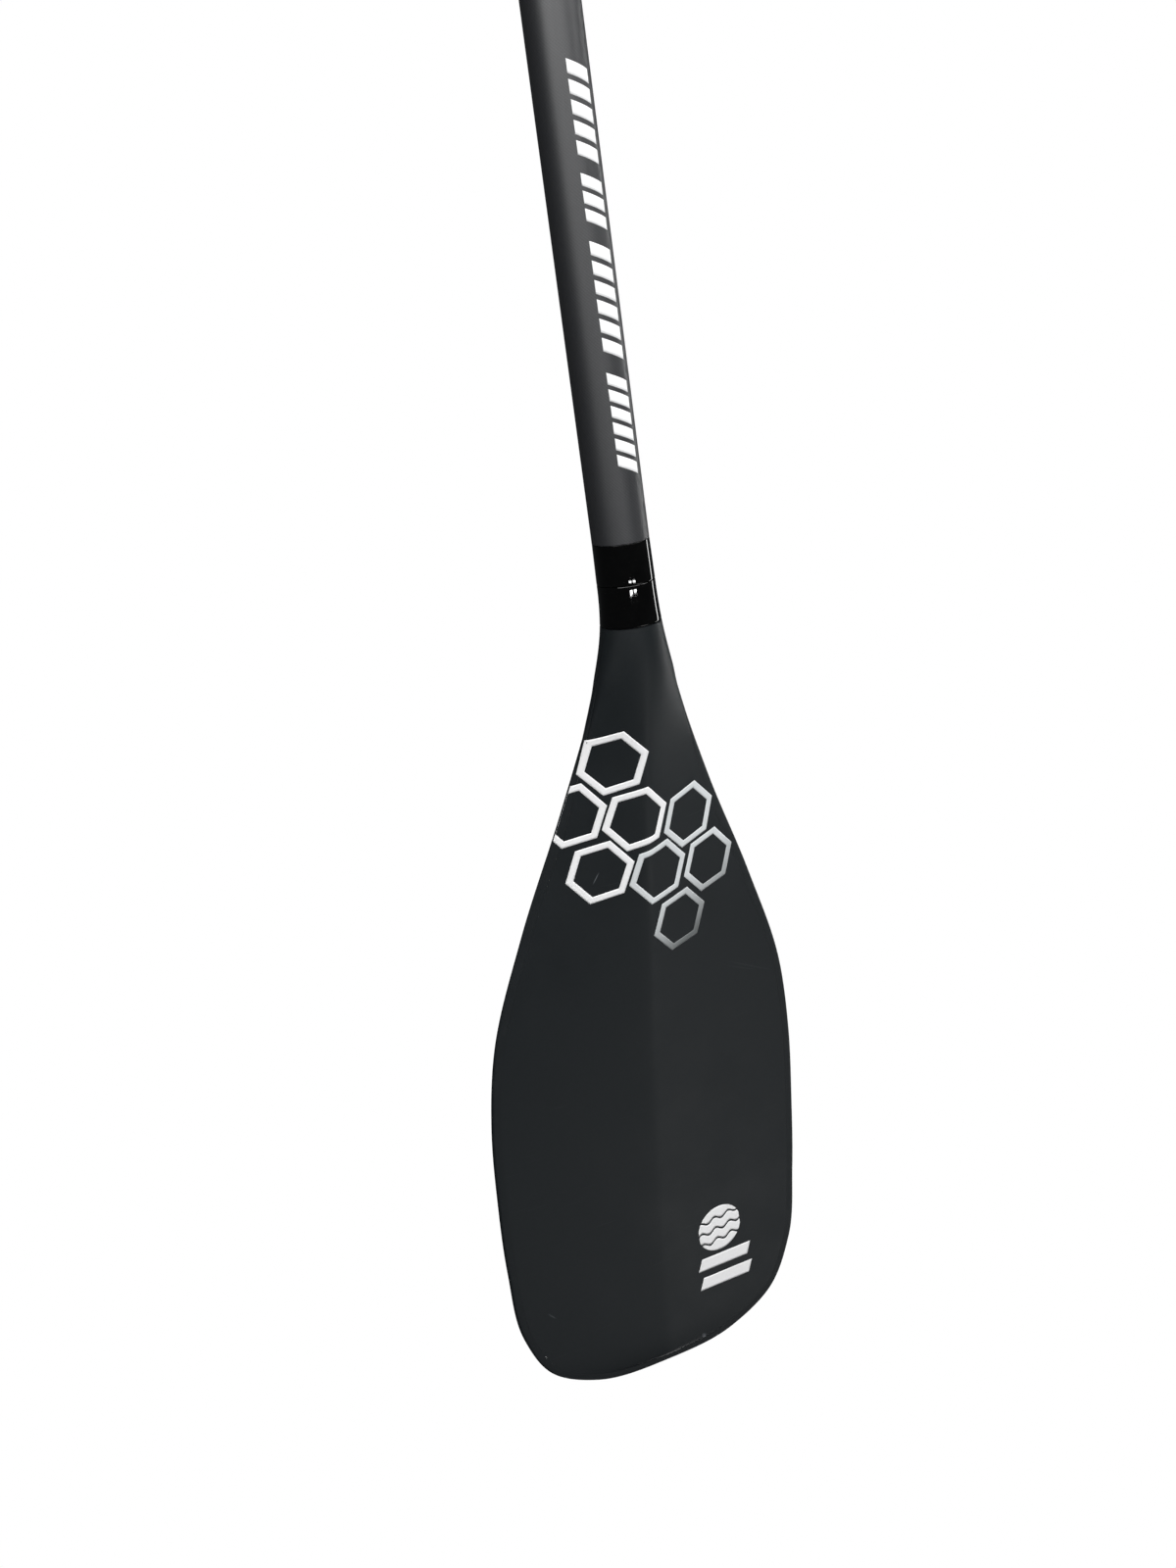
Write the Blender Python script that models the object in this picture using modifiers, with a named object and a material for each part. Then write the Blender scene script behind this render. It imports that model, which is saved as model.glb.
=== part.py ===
"""Adjustable single blade paddle: blade, take-apart shaft, sliding extension and palm grip.

Metres, +Z up. The shaft's axis is Z, with the blade at its lower end. The blade's power face looks
towards -Y, and the blade leans towards +Y. The origin is on the axis, where a clip holds the shaft.
"""
import math

import bmesh
import bpy
from mathutils import Vector

# Fits
GAP = 0.0003  # between pieces that touch
HALF_GAP = GAP / 2
RUN = 0.0003  # radial clearance of pieces that slide or turn in each other
OVERCUT = 0.001  # how far a cutter, or a shape that is joined on, reaches past a face

# Lower shaft
SEAM_Z = -0.348
SHAFT_RADIUS = 0.0150
SHAFT_BORE = 0.0134
SHAFT_LENGTH = 0.778
SHAFT_TOP = SEAM_Z + SHAFT_LENGTH
BAND_LENGTH = 0.0216
BAND_WALL = 0.0004
BAND_FLARE = 0.0003
SHAFT_PLUG_Z = SEAM_Z + 0.100
SHAFT_PLUG_LENGTH = 0.025

# Ferrule and its snap button
FERRULE_RADIUS = SHAFT_BORE - GAP
FERRULE_BORE = 0.0115
FERRULE_UP = 0.090
FERRULE_DOWN = 0.030
FERRULE_PLUG_LENGTH = 0.016
BUTTON_Z = SEAM_Z + 0.045
BUTTON_RADIUS = 0.00375
BUTTON_TIP = 0.0175
BUTTON_DOME = 0.0008
BUTTON_FLANGE_RADIUS = 0.0046
BUTTON_FLANGE_IN = 0.0092
BUTTON_FLANGE_OUT = 0.0102
LEAF_THICKNESS = 0.0005
LEAF_WIDTH = 0.008
LEAF_REACH = 0.008
LEAF_BEND_DROP = 0.016
LEAF_CLEARANCE = 0.0014  # from the middle of the far arm to the ferrule's bore

# Blade: distance below the seam, and half width there
OUTLINE = [
    (0.000, 0.0153),
    (0.024, 0.0169),
    (0.052, 0.0232),
    (0.122, 0.0462),
    (0.192, 0.0733),
    (0.257, 0.0939),
    (0.307, 0.0998),
    (0.357, 0.1005),
    (0.406, 0.0990),
    (0.455, 0.0932),
    (0.485, 0.0780),
    (0.5025, 0.0480),
    (0.5078, 0.0),
]
BLADE_LENGTH = OUTLINE[-1][0]
NECK_TOP = BAND_LENGTH
NECK_END = 0.102  # where the round neck has become the flat blade
BEND_START = -0.002
BEND_END = 0.076
BEND = math.radians(14.7)
SCOOP = math.radians(24.5)  # how much the bend is taken back, for each metre of blade
ROOF_NECK = math.radians(20.6)  # slope of the power face beside its ridge, near the neck
ROOF_MIDDLE = math.radians(7.1)
ROOF_TIP = math.radians(3.4)
ROOF_START = 0.062
RIDGE_ROUND = 0.004
EDGE_HALF = 0.0017
NECK_DEPTH = 0.0153
NECK_DEPTH_GROWTH = 0.030  # depth gained for each metre below the seam
BACK_HOLLOW = 0.35  # share of the ridge's height by which the back face is hollowed
SPINE_HEIGHT = 0.0125
SPINE_HALF_WIDTH = 0.020
SPINE_END = 0.402
SKIN = 0.0009
NECK_SKIN = 0.0012
CORE_TOP = 0.036
CORE_LIP = 0.00005  # half thickness of the core at the sides of the neck
RAIL_START = 0.082
RAIL_RAMP_START = 0.066
RAIL_FULL = 0.137
RAIL_WIDTH_FIRST = 0.0009
RAIL_WIDTH = 0.005
BLADE_ROWS = 25
FINE_STEPS = 2800  # steps in which the outline is measured
BLADE_COLUMNS = 10

# Clamp, with its ears and lever on the +Y side
COLLAR_RADIUS = 0.0185
COLLAR_BORE = SHAFT_RADIUS + GAP
COLLAR_LOW = SHAFT_TOP - 0.032
COLLAR_HIGH = SHAFT_TOP + 0.018
SLIT = 0.0024
EAR_X = 0.0085
EAR_Y = 0.0295
EAR_HALF_HEIGHT = 0.011
BOLT_Y = 0.0235
BOLT_Z = SHAFT_TOP + 0.004
BOLT_RADIUS = 0.0022
BOLT_HEAD_RADIUS = 0.0042
BOLT_HEAD_HEIGHT = 0.0035
BOLT_SHORT = 0.001  # how far the bolt's end stays inside the pin
WASHER = 0.0010
PAD = 0.0015
PAD_HALF_WIDTH = 0.0055
PAD_HALF_HEIGHT = 0.010
CAM_RADIUS = 0.0067
CAM_OFFSET = 0.0007
PIN_X = EAR_X + GAP + PAD + GAP + CAM_RADIUS + CAM_OFFSET
PIN_RADIUS = 0.0038
PIN_HALF_HEIGHT = 0.011
LEVER_HALF_HEIGHT = 0.0115
LEVER_SLOT_HALF = 0.003
LEVER_SLOT_RADIUS = 0.0082
ARM_HALF_HEIGHT = 0.0095
ARM_INNER = 0.0202
ARM_OUTER = 0.0240
ARM_FIRST = math.radians(20)
ARM_LAST = math.radians(-64)
TIP_OUT = 0.004  # how far the thumb tip stands out
TIP_IN = 0.0015
TIP_TURN = 0.14  # angle past the arm's last one at which the tip begins
TIP_NOSE_TURN = 0.17
TIP_INNER_TURN = 0.12  # angle before the arm's last one at which its inner side ends
BUSH_LIP = 0.0015
BUSH_LIP_RADIUS = 0.0178
BUSH_SLIT = 0.0015

# Extension
TUBE_RADIUS = 0.0130
TUBE_BORE = 0.0115
TUBE_BELOW = 0.560
TUBE_ABOVE = 0.280
TUBE_LOW = SHAFT_TOP - TUBE_BELOW
TUBE_TOP = SHAFT_TOP + TUBE_ABOVE
GROOVE_FLOOR = 0.0122
GROOVE_WIDTH = 0.0038
GROOVE_STOP = 0.030  # from the groove's upper end to the tube's top
KEY_WIDTH = GROOVE_WIDTH - 2 * GAP
GUIDE_DROP = 0.008
GUIDE_SPIGOT = 0.020
GUIDE_BORE = 0.008
TUBE_PLUG_LENGTH = 0.024

# Grip
RING_RADIUS = 0.0165
RING_HEIGHT = 0.009
RING_CHAMFER = 0.002
STEM_RADIUS = TUBE_BORE - GAP
STEM_BORE = 0.009
STEM_DOWN = 0.045
STEM_UP = 0.035
GRIP_HEIGHT = 0.062
GRIP_SHOULDER = 0.040
GRIP_HALF_WIDTH = 0.053
GRIP_FOOT = 0.0162
GRIP_WAIST = 0.0150
GRIP_PALM = 0.0168
GRIP_WALL = 0.003
GRIP_SOLID_FOOT = 0.014
GRIP_ROWS = 10
GRIP_SIDES = 12
CROWN_MERGE = 0.00016  # closes the crown, where a half ends in an edge
GRIP_SQUARENESS = 0.85  # 1 is an ellipse, less is squarer

ROUND = 40
SMALL_ROUND = 24
PARTS = "single_blade_paddle"
CUTTERS = "cutters"

Y_AXIS_TURN = (-math.pi / 2, 0.0, 0.0)  # turns local +Z to +Y
X_AXIS_TURN = (0.0, math.pi / 2, 0.0)  # turns local +Z to +X


# ---------------------------------------------------------------- scene helpers


def clear_scene():
    for obj in list(bpy.data.objects):
        bpy.data.objects.remove(obj, do_unlink=True)


def collection(name):
    found = bpy.data.collections.get(name)
    if found is None:
        found = bpy.data.collections.new(name)
        bpy.context.scene.collection.children.link(found)
    return found


def material(name, colour, roughness, metallic=0.0):
    made = bpy.data.materials.get(name) or bpy.data.materials.new(name)
    made.use_nodes = True
    shader = made.node_tree.nodes["Principled BSDF"]
    shader.inputs["Base Color"].default_value = (*colour, 1.0)
    shader.inputs["Roughness"].default_value = roughness
    shader.inputs["Metallic"].default_value = metallic
    made.diffuse_color = (*colour, 1.0)
    return made


def add_part(name, mesh, paint, at=(0, 0, 0), turn=(0, 0, 0)):
    obj = bpy.data.objects.new(name, mesh)
    obj.location = at
    obj.rotation_euler = turn
    obj.data.materials.append(paint)
    collection(PARTS).objects.link(obj)
    return obj


def add_cutter(name, mesh, at=(0, 0, 0), turn=(0, 0, 0)):
    obj = bpy.data.objects.new(name, mesh)
    obj.location = at
    obj.rotation_euler = turn
    obj.hide_render = True
    obj.display_type = "WIRE"
    collection(CUTTERS).objects.link(obj)
    return obj


def boolean(obj, other, operation):
    modifier = obj.modifiers.new(f"{operation} {other.name}", "BOOLEAN")
    modifier.operation = operation
    modifier.object = other
    modifier.solver = "EXACT"


def parent_to(name, location, children):
    """An empty on a joint's axis that carries the pieces that move with it."""
    empty = bpy.data.objects.new(name, None)
    empty.location = location
    collection(PARTS).objects.link(empty)
    for child in children:
        child.parent = empty
        child.location = Vector(child.location) - Vector(location)


# ---------------------------------------------------------------- shape helpers


def mesh_from(bm, name):
    bmesh.ops.recalc_face_normals(bm, faces=bm.faces)
    mesh = bpy.data.meshes.new(name)
    bm.to_mesh(mesh)
    bm.free()
    return mesh


def turned(obj, steps):
    screw = obj.modifiers.new("Turn", "SCREW")
    screw.angle = math.tau
    screw.steps = steps
    screw.render_steps = steps
    screw.use_merge_vertices = True
    screw.merge_threshold = 0.00001
    screw.use_smooth_shade = True


def profile_mesh(name, profile, closed):
    """Edges through (radius, height) points, from the top down the outer side."""
    mesh = bpy.data.meshes.new(name)
    verts = [(radius, 0, height) for radius, height in profile]
    edges = [(n, n + 1) for n in range(len(verts) - 1)]
    if closed:
        edges.append((len(verts) - 1, 0))
    mesh.from_pydata(verts, edges, [])
    return mesh


def turned_tube(name, profile, paint, steps=ROUND, at=(0, 0, 0), turn=(0, 0, 0)):
    obj = add_part(name, profile_mesh(name, profile, closed=True), paint, at, turn)
    turned(obj, steps)
    return obj


def turned_solid(name, profile, paint, steps=SMALL_ROUND, at=(0, 0, 0), turn=(0, 0, 0)):
    obj = add_part(name, profile_mesh(name, profile, closed=False), paint, at, turn)
    turned(obj, steps)
    return obj


def tube_profile(outer, inner, low, high):
    return [(outer, high), (outer, low), (inner, low), (inner, high)]


def rod_profile(radius, low, high):
    return [(0, high), (radius, high), (radius, low), (0, low)]


def rod_mesh(name, radius, length):
    bm = bmesh.new()
    bmesh.ops.create_cone(
        bm, cap_ends=True, segments=SMALL_ROUND, radius1=radius, radius2=radius, depth=length
    )
    return mesh_from(bm, name)


def box_mesh(name, low, high):
    bm = bmesh.new()
    bmesh.ops.create_cube(bm, size=1.0)
    low = Vector(low)
    high = Vector(high)
    for vert in bm.verts:
        vert.co = Vector((low[n] + (vert.co[n] + 0.5) * (high[n] - low[n]) for n in range(3)))
    return mesh_from(bm, name)


def plate_mesh(name, outline, half_height):
    """A flat outline in XY, as thick as twice the half height, made as a filled 2D curve."""
    curve = bpy.data.curves.new(name, "CURVE")
    curve.dimensions = "2D"
    curve.fill_mode = "BOTH"
    curve.extrude = half_height
    spline = curve.splines.new("POLY")
    spline.points.add(len(outline) - 1)
    for point, (x, y) in zip(spline.points, outline):
        point.co = (x, y, 0, 1)
    spline.use_cyclic_u = True
    obj = bpy.data.objects.new(name, curve)
    bpy.context.scene.collection.objects.link(obj)
    evaluated = obj.evaluated_get(bpy.context.evaluated_depsgraph_get())
    mesh = bpy.data.meshes.new_from_object(evaluated)
    bpy.data.objects.remove(obj, do_unlink=True)
    bm = bmesh.new()
    bm.from_mesh(mesh)
    bpy.data.meshes.remove(mesh)
    bmesh.ops.remove_doubles(bm, verts=bm.verts, dist=0.00001)
    return mesh_from(bm, name)


def on_circle(radius, angle):
    return (radius * math.cos(angle), radius * math.sin(angle))


def arc(centre, radius, first, last, count):
    """Points on an arc in XY, from one angle to the other."""
    angles = [first + (last - first) * n / count for n in range(count + 1)]
    return [(centre[0] + radius * math.cos(a), centre[1] + radius * math.sin(a)) for a in angles]


def loft(name, rings, ends="capped", merge=0.000002):
    """A closed skin over rings of points.

    Its ends are capped, or wrapped (the last ring joins the first), or only its first ring has a
    cap and its last ring is merged to a point or an edge (pointed).
    """
    bm = bmesh.new()
    rows = [[bm.verts.new(point) for point in ring] for ring in rings]
    pairs = list(zip(rows, rows[1:]))
    if ends == "wrapped":
        pairs.append((rows[-1], rows[0]))
    else:
        bm.faces.new(rows[0])
    if ends == "capped":
        bm.faces.new(rows[-1])
    for one, two in pairs:
        for n in range(len(one)):
            after = (n + 1) % len(one)
            add_two_triangles(bm, one[n], one[after], two[after], two[n])
    bmesh.ops.remove_doubles(bm, verts=bm.verts, dist=merge)
    return mesh_from(bm, name)


def add_two_triangles(bm, a, b, c, d):
    """A four-sided face in two, split from its inner upper corner, so that near skins stay clear."""
    if abs(a.co.x) > abs(b.co.x):
        bm.faces.new((a, b, d))
        bm.faces.new((b, c, d))
    else:
        bm.faces.new((a, b, c))
        bm.faces.new((a, c, d))


def smooth_step(value, low, high):
    share = min(max((value - low) / (high - low), 0.0), 1.0)
    return share * share * (3 - 2 * share)


def mix(one, two, share):
    return one + (two - one) * share


# ---------------------------------------------------------------- blade geometry


def curve_through(points, count):
    """Evenly spaced points and tangents on a smooth curve that passes through the points."""
    points = [Vector(point) for point in points]
    knots = [0.0]
    for one, two in zip(points, points[1:]):
        knots.append(knots[-1] + (two - one).length)
    slopes = [Vector((1, 0))]
    for n in range(1, len(points) - 1):
        before = (points[n] - points[n - 1]) / (knots[n] - knots[n - 1])
        after = (points[n + 1] - points[n]) / (knots[n + 1] - knots[n])
        share = (knots[n] - knots[n - 1]) / (knots[n + 1] - knots[n - 1])
        slopes.append(before.lerp(after, share))
    slopes.append(Vector((0, -1)))
    found = []
    for step in range(count + 1):
        length = knots[-1] * step / count
        n = max(k for k in range(len(points) - 1) if knots[k] <= length)
        span = knots[n + 1] - knots[n]
        t = (length - knots[n]) / span
        start = points[n] * (2 * t**3 - 3 * t**2 + 1) + slopes[n] * span * (t**3 - 2 * t**2 + t)
        end = points[n + 1] * (3 * t**2 - 2 * t**3) + slopes[n + 1] * span * (t**3 - t**2)
        found.append(start + end)
    return found


def lean(s):
    """Angle of the blade's centre line to the shaft, at a distance below the seam."""
    return BEND * smooth_step(s, BEND_START, BEND_END) - SCOOP * max(s - BEND_END, 0)


def centre_line(s):
    """Y and Z on the blade's centre line."""
    steps = 64
    y = 0.0
    z = SEAM_Z
    for n in range(steps):
        angle = lean(s * (n + 0.5) / steps)
        y += math.sin(angle) * s / steps
        z -= math.cos(angle) * s / steps
    return y, z


def blade_point(s, x, height):
    """A point of the blade, its height measured towards the power face."""
    y, z = centre_line(s)
    angle = lean(s)
    return Vector((x, y - math.cos(angle) * height, z - math.sin(angle) * height))


def flatness(s):
    """0 in the round neck and 1 in the flat blade."""
    return smooth_step(s, NECK_TOP, NECK_END)


def neck_depth(s):
    return NECK_DEPTH + NECK_DEPTH_GROWTH * s - HALF_GAP


def ridge_height(s, half_width):
    """Height of the power face's ridge over the blade's edges."""
    share = min(max((s - ROOF_START) / (BLADE_LENGTH - ROOF_START), 0.0), 1.0)
    slope = (
        ROOF_NECK * (1 - share) * (1 - 2 * share)
        + 4 * ROOF_MIDDLE * share * (1 - share)
        + ROOF_TIP * share * (2 * share - 1)
    )
    return math.tan(slope) * half_width


def front_height(s, share, half_width):
    """Height of the power face, at a share of the half width."""
    soft = RIDGE_ROUND / max(half_width, RIDGE_ROUND)
    fall = (math.hypot(share, soft) - soft) / (math.hypot(1, soft) - soft)
    roof = EDGE_HALF + ridge_height(s, half_width) * (1 - fall)
    neck = neck_depth(s) * math.sqrt(max(1 - share * share, 0))
    return mix(neck, roof, flatness(s))


def back_height(s, share, half_width):
    """Depth of the back face below the blade's middle plane, at a share of the half width."""
    hollow = BACK_HOLLOW * ridge_height(s, half_width) * (1 - share * share)
    spine = SPINE_HEIGHT * (1 - smooth_step(s, NECK_TOP, SPINE_END))
    across = share * half_width / SPINE_HALF_WIDTH
    flat = EDGE_HALF - hollow + (spine + hollow * 0.5) * math.exp(-across * across)
    neck = neck_depth(s) * math.sqrt(max(1 - share * share, 0))
    return mix(neck, flat, flatness(s))


def rail_width(s):
    return mix(RAIL_WIDTH_FIRST, RAIL_WIDTH, smooth_step(s, RAIL_START, RAIL_FULL))


def skin_margin(s):
    """How far the skins stay inside the outline, to leave room for the edge rail."""
    ramp = smooth_step(s, RAIL_RAMP_START, RAIL_START)
    return ramp * (rail_width(s) + GAP)


def outline_rows():
    """Points down the blade's right edge, each with its outward direction. All pieces share them."""
    fine = curve_through(OUTLINE, FINE_STEPS)
    last = len(fine) - 1
    even = round((last - index_at(fine, CORE_TOP)) / BLADE_ROWS)
    places = [index_at(fine, NECK_TOP + HALF_GAP)]
    places += [last - even * n for n in range(BLADE_ROWS, -1, -1)]
    found = []
    for n in places:
        along = fine[min(n + 1, last)] - fine[max(n - 1, 0)]
        outward = Vector((1, 0)) if n == last else Vector((-along[1], along[0])).normalized()
        found.append((fine[n], outward))
    return found


def index_at(fine, s):
    return next(n for n, point in enumerate(fine) if point[0] >= s)


def drawn_in(rows):
    """The outline's rows, drawn in by the skins' margin: distance below the seam, half width."""
    found = []
    for point, outward in rows:
        inside = point - outward * skin_margin(point[0])
        found.append((inside[0], max(inside[1], 0.0)))
    return found


def across_angles():
    return [math.pi * n / BLADE_COLUMNS for n in range(BLADE_COLUMNS + 1)]


def face_ring(s, half_width, height_of, side):
    """One section through a skin: its outer side one way, and its inner side back."""
    flat = flatness(s)
    wall = mix(NECK_SKIN, SKIN, flat)
    top = height_of(s, 0.0, half_width)
    inner_width = max(half_width - wall, 0.0)
    outer = []
    inner = []
    for angle in across_angles():
        share = math.cos(angle)
        height = height_of(s, share, half_width)
        thinner = wall * mix(height / top, 1.0, flat)
        outer.append(blade_point(s, share * half_width, side * (HALF_GAP + height)))
        inner.append(blade_point(s, share * inner_width, side * (HALF_GAP + height - thinner)))
    return outer + inner[::-1]


def core_ring(s, half_width):
    """One section through the core, which fills the space between the skins."""
    flat = flatness(s)
    wall = mix(NECK_SKIN, SKIN, flat)
    width = max(half_width - wall - GAP, 0.0)
    ring = []
    for height_of, side in ((front_height, 1), (back_height, -1)):
        top = height_of(s, 0.0, half_width)
        for angle in across_angles()[::side]:
            share = math.cos(angle)
            height = height_of(s, share, half_width)
            height -= (wall + GAP) * mix(height / top, 1.0, flat)
            ring.append(blade_point(s, share * width, side * (height + CORE_LIP)))
    return ring


def rail_ring(point, outward, side):
    """One section through the edge rail, from its inner wall to its rounded outer edge."""
    width = rail_width(point[0])
    half = EDGE_HALF * flatness(point[0]) + HALF_GAP
    section = [(1.0, 1.0), (0.45, 0.96), (0.12, 0.62), (0.0, 0.0)]
    heights = section + [(depth, -height) for depth, height in section[-2::-1]]
    ring = []
    for depth, height in heights:
        place = point - outward * width * depth
        ring.append(blade_point(place[0], side * max(place[1], 0.0), half * height))
    return ring


# ---------------------------------------------------------------- blade pieces


def blade_skin(name, height_of, side, paint):
    rings = [face_ring(s, w, height_of, side) for s, w in drawn_in(outline_rows())]
    return add_part(name, loft(name, rings, "pointed"), paint)


def blade_core(paint):
    rings = [core_ring(s, w) for s, w in drawn_in(outline_rows()[1:])]
    return add_part("blade_foam_core", loft("blade_foam_core", rings, "pointed"), paint)


def blade_rail(paint):
    right = [row for row in outline_rows() if row[0][0] >= RAIL_START]
    rings = [rail_ring(point, outward, 1) for point, outward in right]
    rings += [rail_ring(point, outward, -1) for point, outward in right[-2::-1]]
    return add_part("blade_edge_rail", loft("blade_edge_rail", rings), paint)


def neck_band(paint):
    """Gloss sleeve: round at the seam, widening with the neck, with a straight bore."""
    rows = [HALF_GAP + (NECK_TOP - GAP) * n / 4 for n in range(5)]
    widths = dict(zip(rows, neck_widths(rows)))
    angles = [math.tau * n / ROUND for n in range(ROUND)]
    outer = [[band_point(s, widths[s], angle) for angle in angles] for s in rows]
    bore = FERRULE_RADIUS + GAP
    inner = []
    for ring in outer[::-1]:
        inner.append([bore_point(point, angle, bore) for point, angle in zip(ring, angles)])
    return add_part("neck_band", loft("neck_band", outer + inner, "wrapped"), paint)


def neck_widths(rows):
    fine = curve_through(OUTLINE, FINE_STEPS)
    return [fine[index_at(fine, s)][1] for s in rows]


def band_point(s, half_width, angle):
    depth = NECK_DEPTH + NECK_DEPTH_GROWTH * s
    return blade_point(s, half_width * math.cos(angle), depth * math.sin(angle))


def bore_point(outer, angle, radius):
    return Vector((radius * math.cos(angle), -radius * math.sin(angle), outer.z))


# ---------------------------------------------------------------- shaft pieces


def main_shaft(paint):
    step = SEAM_Z + BAND_LENGTH
    under = SHAFT_RADIUS - BAND_WALL - GAP
    profile = [
        (SHAFT_RADIUS, SHAFT_TOP),
        (SHAFT_RADIUS, step),
        (under, step),
        (under, SEAM_Z + HALF_GAP),
        (SHAFT_BORE, SEAM_Z + HALF_GAP),
        (SHAFT_BORE, SHAFT_TOP),
    ]
    shaft = turned_tube("main_shaft", profile, paint)
    boolean(shaft, button_hole("shaft_button_hole"), "DIFFERENCE")
    return shaft


def shaft_end_band(paint):
    inner = SHAFT_RADIUS - BAND_WALL
    low = SEAM_Z + HALF_GAP
    high = SEAM_Z + BAND_LENGTH - GAP
    profile = [(SHAFT_RADIUS, high), (SHAFT_RADIUS + BAND_FLARE, low), (inner, low), (inner, high)]
    return turned_tube("shaft_end_band", profile, paint)


def shaft_plug(paint):
    low = SHAFT_PLUG_Z
    profile = rod_profile(SHAFT_BORE - GAP, low, low + SHAFT_PLUG_LENGTH)
    return turned_solid("shaft_plug", profile, paint)


def button_hole(name):
    length = SHAFT_RADIUS
    middle = (0, FERRULE_BORE - OVERCUT + length / 2, BUTTON_Z)
    return add_cutter(name, rod_mesh(name, BUTTON_RADIUS + HALF_GAP, length), middle, Y_AXIS_TURN)


def blade_ferrule(paint):
    profile = tube_profile(
        FERRULE_RADIUS, FERRULE_BORE, SEAM_Z - FERRULE_DOWN, SEAM_Z + FERRULE_UP
    )
    ferrule = turned_tube("blade_ferrule", profile, paint)
    boolean(ferrule, button_hole("ferrule_button_hole"), "DIFFERENCE")
    return ferrule


def ferrule_plug(paint):
    high = SEAM_Z + FERRULE_UP
    profile = rod_profile(FERRULE_BORE - GAP, high - FERRULE_PLUG_LENGTH, high)
    return turned_solid("ferrule_plug", profile, paint)


def snap_button(paint):
    dome = BUTTON_TIP - BUTTON_DOME
    profile = [
        (0, BUTTON_TIP),
        (BUTTON_RADIUS * 0.55, BUTTON_TIP - 0.00015),
        (BUTTON_RADIUS * 0.9, dome + 0.00025),
        (BUTTON_RADIUS, dome),
        (BUTTON_RADIUS, BUTTON_FLANGE_OUT),
        (BUTTON_FLANGE_RADIUS, BUTTON_FLANGE_OUT),
        (BUTTON_FLANGE_RADIUS, BUTTON_FLANGE_IN),
        (0, BUTTON_FLANGE_IN),
    ]
    return turned_solid("snap_button", profile, paint, at=(0, 0, BUTTON_Z), turn=Y_AXIS_TURN)


def snap_spring(paint):
    """Bent leaf: one arm behind the button, the other against the ferrule's far wall."""
    near = BUTTON_FLANGE_IN - GAP - LEAF_THICKNESS / 2
    far = -(FERRULE_BORE - LEAF_CLEARANCE)
    bend = arc(((near + far) / 2, -LEAF_BEND_DROP), (near - far) / 2, 0, -math.pi, 10)
    path = [(near, LEAF_REACH), *bend, (far, LEAF_REACH)]
    bm = bmesh.new()
    rows = []
    for y, z in path:
        left = bm.verts.new((-LEAF_WIDTH / 2, y, z))
        right = bm.verts.new((LEAF_WIDTH / 2, y, z))
        rows.append((left, right))
    for one, two in zip(rows, rows[1:]):
        bm.faces.new((*one, two[1], two[0]))
    leaf = add_part("snap_spring", mesh_from(bm, "snap_spring"), paint, at=(0, 0, BUTTON_Z))
    solid = leaf.modifiers.new("Thickness", "SOLIDIFY")
    solid.thickness = LEAF_THICKNESS
    solid.offset = 0
    return leaf


# ---------------------------------------------------------------- clamp pieces


def clamp_collar(paint):
    collar = turned_tube(
        "clamp_collar", tube_profile(COLLAR_RADIUS, COLLAR_BORE, COLLAR_LOW, COLLAR_HIGH), paint
    )
    ears = box_mesh(
        "collar_ears",
        (-EAR_X, COLLAR_BORE + OVERCUT, BOLT_Z - EAR_HALF_HEIGHT),
        (EAR_X, EAR_Y, BOLT_Z + EAR_HALF_HEIGHT),
    )
    slit = box_mesh(
        "collar_slit",
        (-SLIT / 2, COLLAR_BORE / 2, COLLAR_LOW - OVERCUT),
        (SLIT / 2, EAR_Y + OVERCUT, COLLAR_HIGH + OVERCUT),
    )
    boolean(collar, add_cutter("collar_ears", ears), "UNION")
    boolean(collar, add_cutter("collar_slit", slit), "DIFFERENCE")
    boolean(collar, bolt_hole("collar_bolt_hole"), "DIFFERENCE")
    return collar


def bolt_hole(name):
    length = 4 * EAR_X
    middle = (EAR_X / 2, BOLT_Y, BOLT_Z)
    return add_cutter(name, rod_mesh(name, BOLT_RADIUS + GAP, length), middle, X_AXIS_TURN)


def clamp_bush(paint):
    inner = TUBE_RADIUS + RUN
    outer = COLLAR_BORE - GAP
    lip_low = COLLAR_HIGH + GAP
    profile = [
        (BUSH_LIP_RADIUS, lip_low + BUSH_LIP),
        (BUSH_LIP_RADIUS, lip_low),
        (outer, lip_low),
        (outer, SHAFT_TOP + GAP),
        (inner, SHAFT_TOP + GAP),
        (inner, lip_low + BUSH_LIP),
    ]
    bush = turned_tube("clamp_bush", profile, paint)
    slit = box_mesh(
        "bush_slit",
        (-BUSH_SLIT / 2, -COLLAR_RADIUS - OVERCUT, SHAFT_TOP - OVERCUT),
        (BUSH_SLIT / 2, -inner / 2, lip_low + BUSH_LIP + OVERCUT),
    )
    key = box_mesh(
        "bush_key",
        (-KEY_WIDTH / 2, GROOVE_FLOOR + GAP, SHAFT_TOP + 2 * GAP),
        (KEY_WIDTH / 2, inner + OVERCUT, lip_low),
    )
    boolean(bush, add_cutter("bush_slit", slit), "DIFFERENCE")
    boolean(bush, add_cutter("bush_key", key), "UNION")
    return bush


def clamp_bolt(paint):
    head_in = -(EAR_X + GAP + WASHER + GAP)
    tail = PIN_X + PIN_RADIUS - BOLT_SHORT
    profile = [
        (0, tail),
        (BOLT_RADIUS, tail),
        (BOLT_RADIUS, head_in),
        (BOLT_HEAD_RADIUS, head_in),
        (BOLT_HEAD_RADIUS, head_in - BOLT_HEAD_HEIGHT),
        (0, head_in - BOLT_HEAD_HEIGHT),
    ]
    return turned_solid("clamp_bolt", profile, paint, at=(0, BOLT_Y, BOLT_Z), turn=X_AXIS_TURN)


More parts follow.
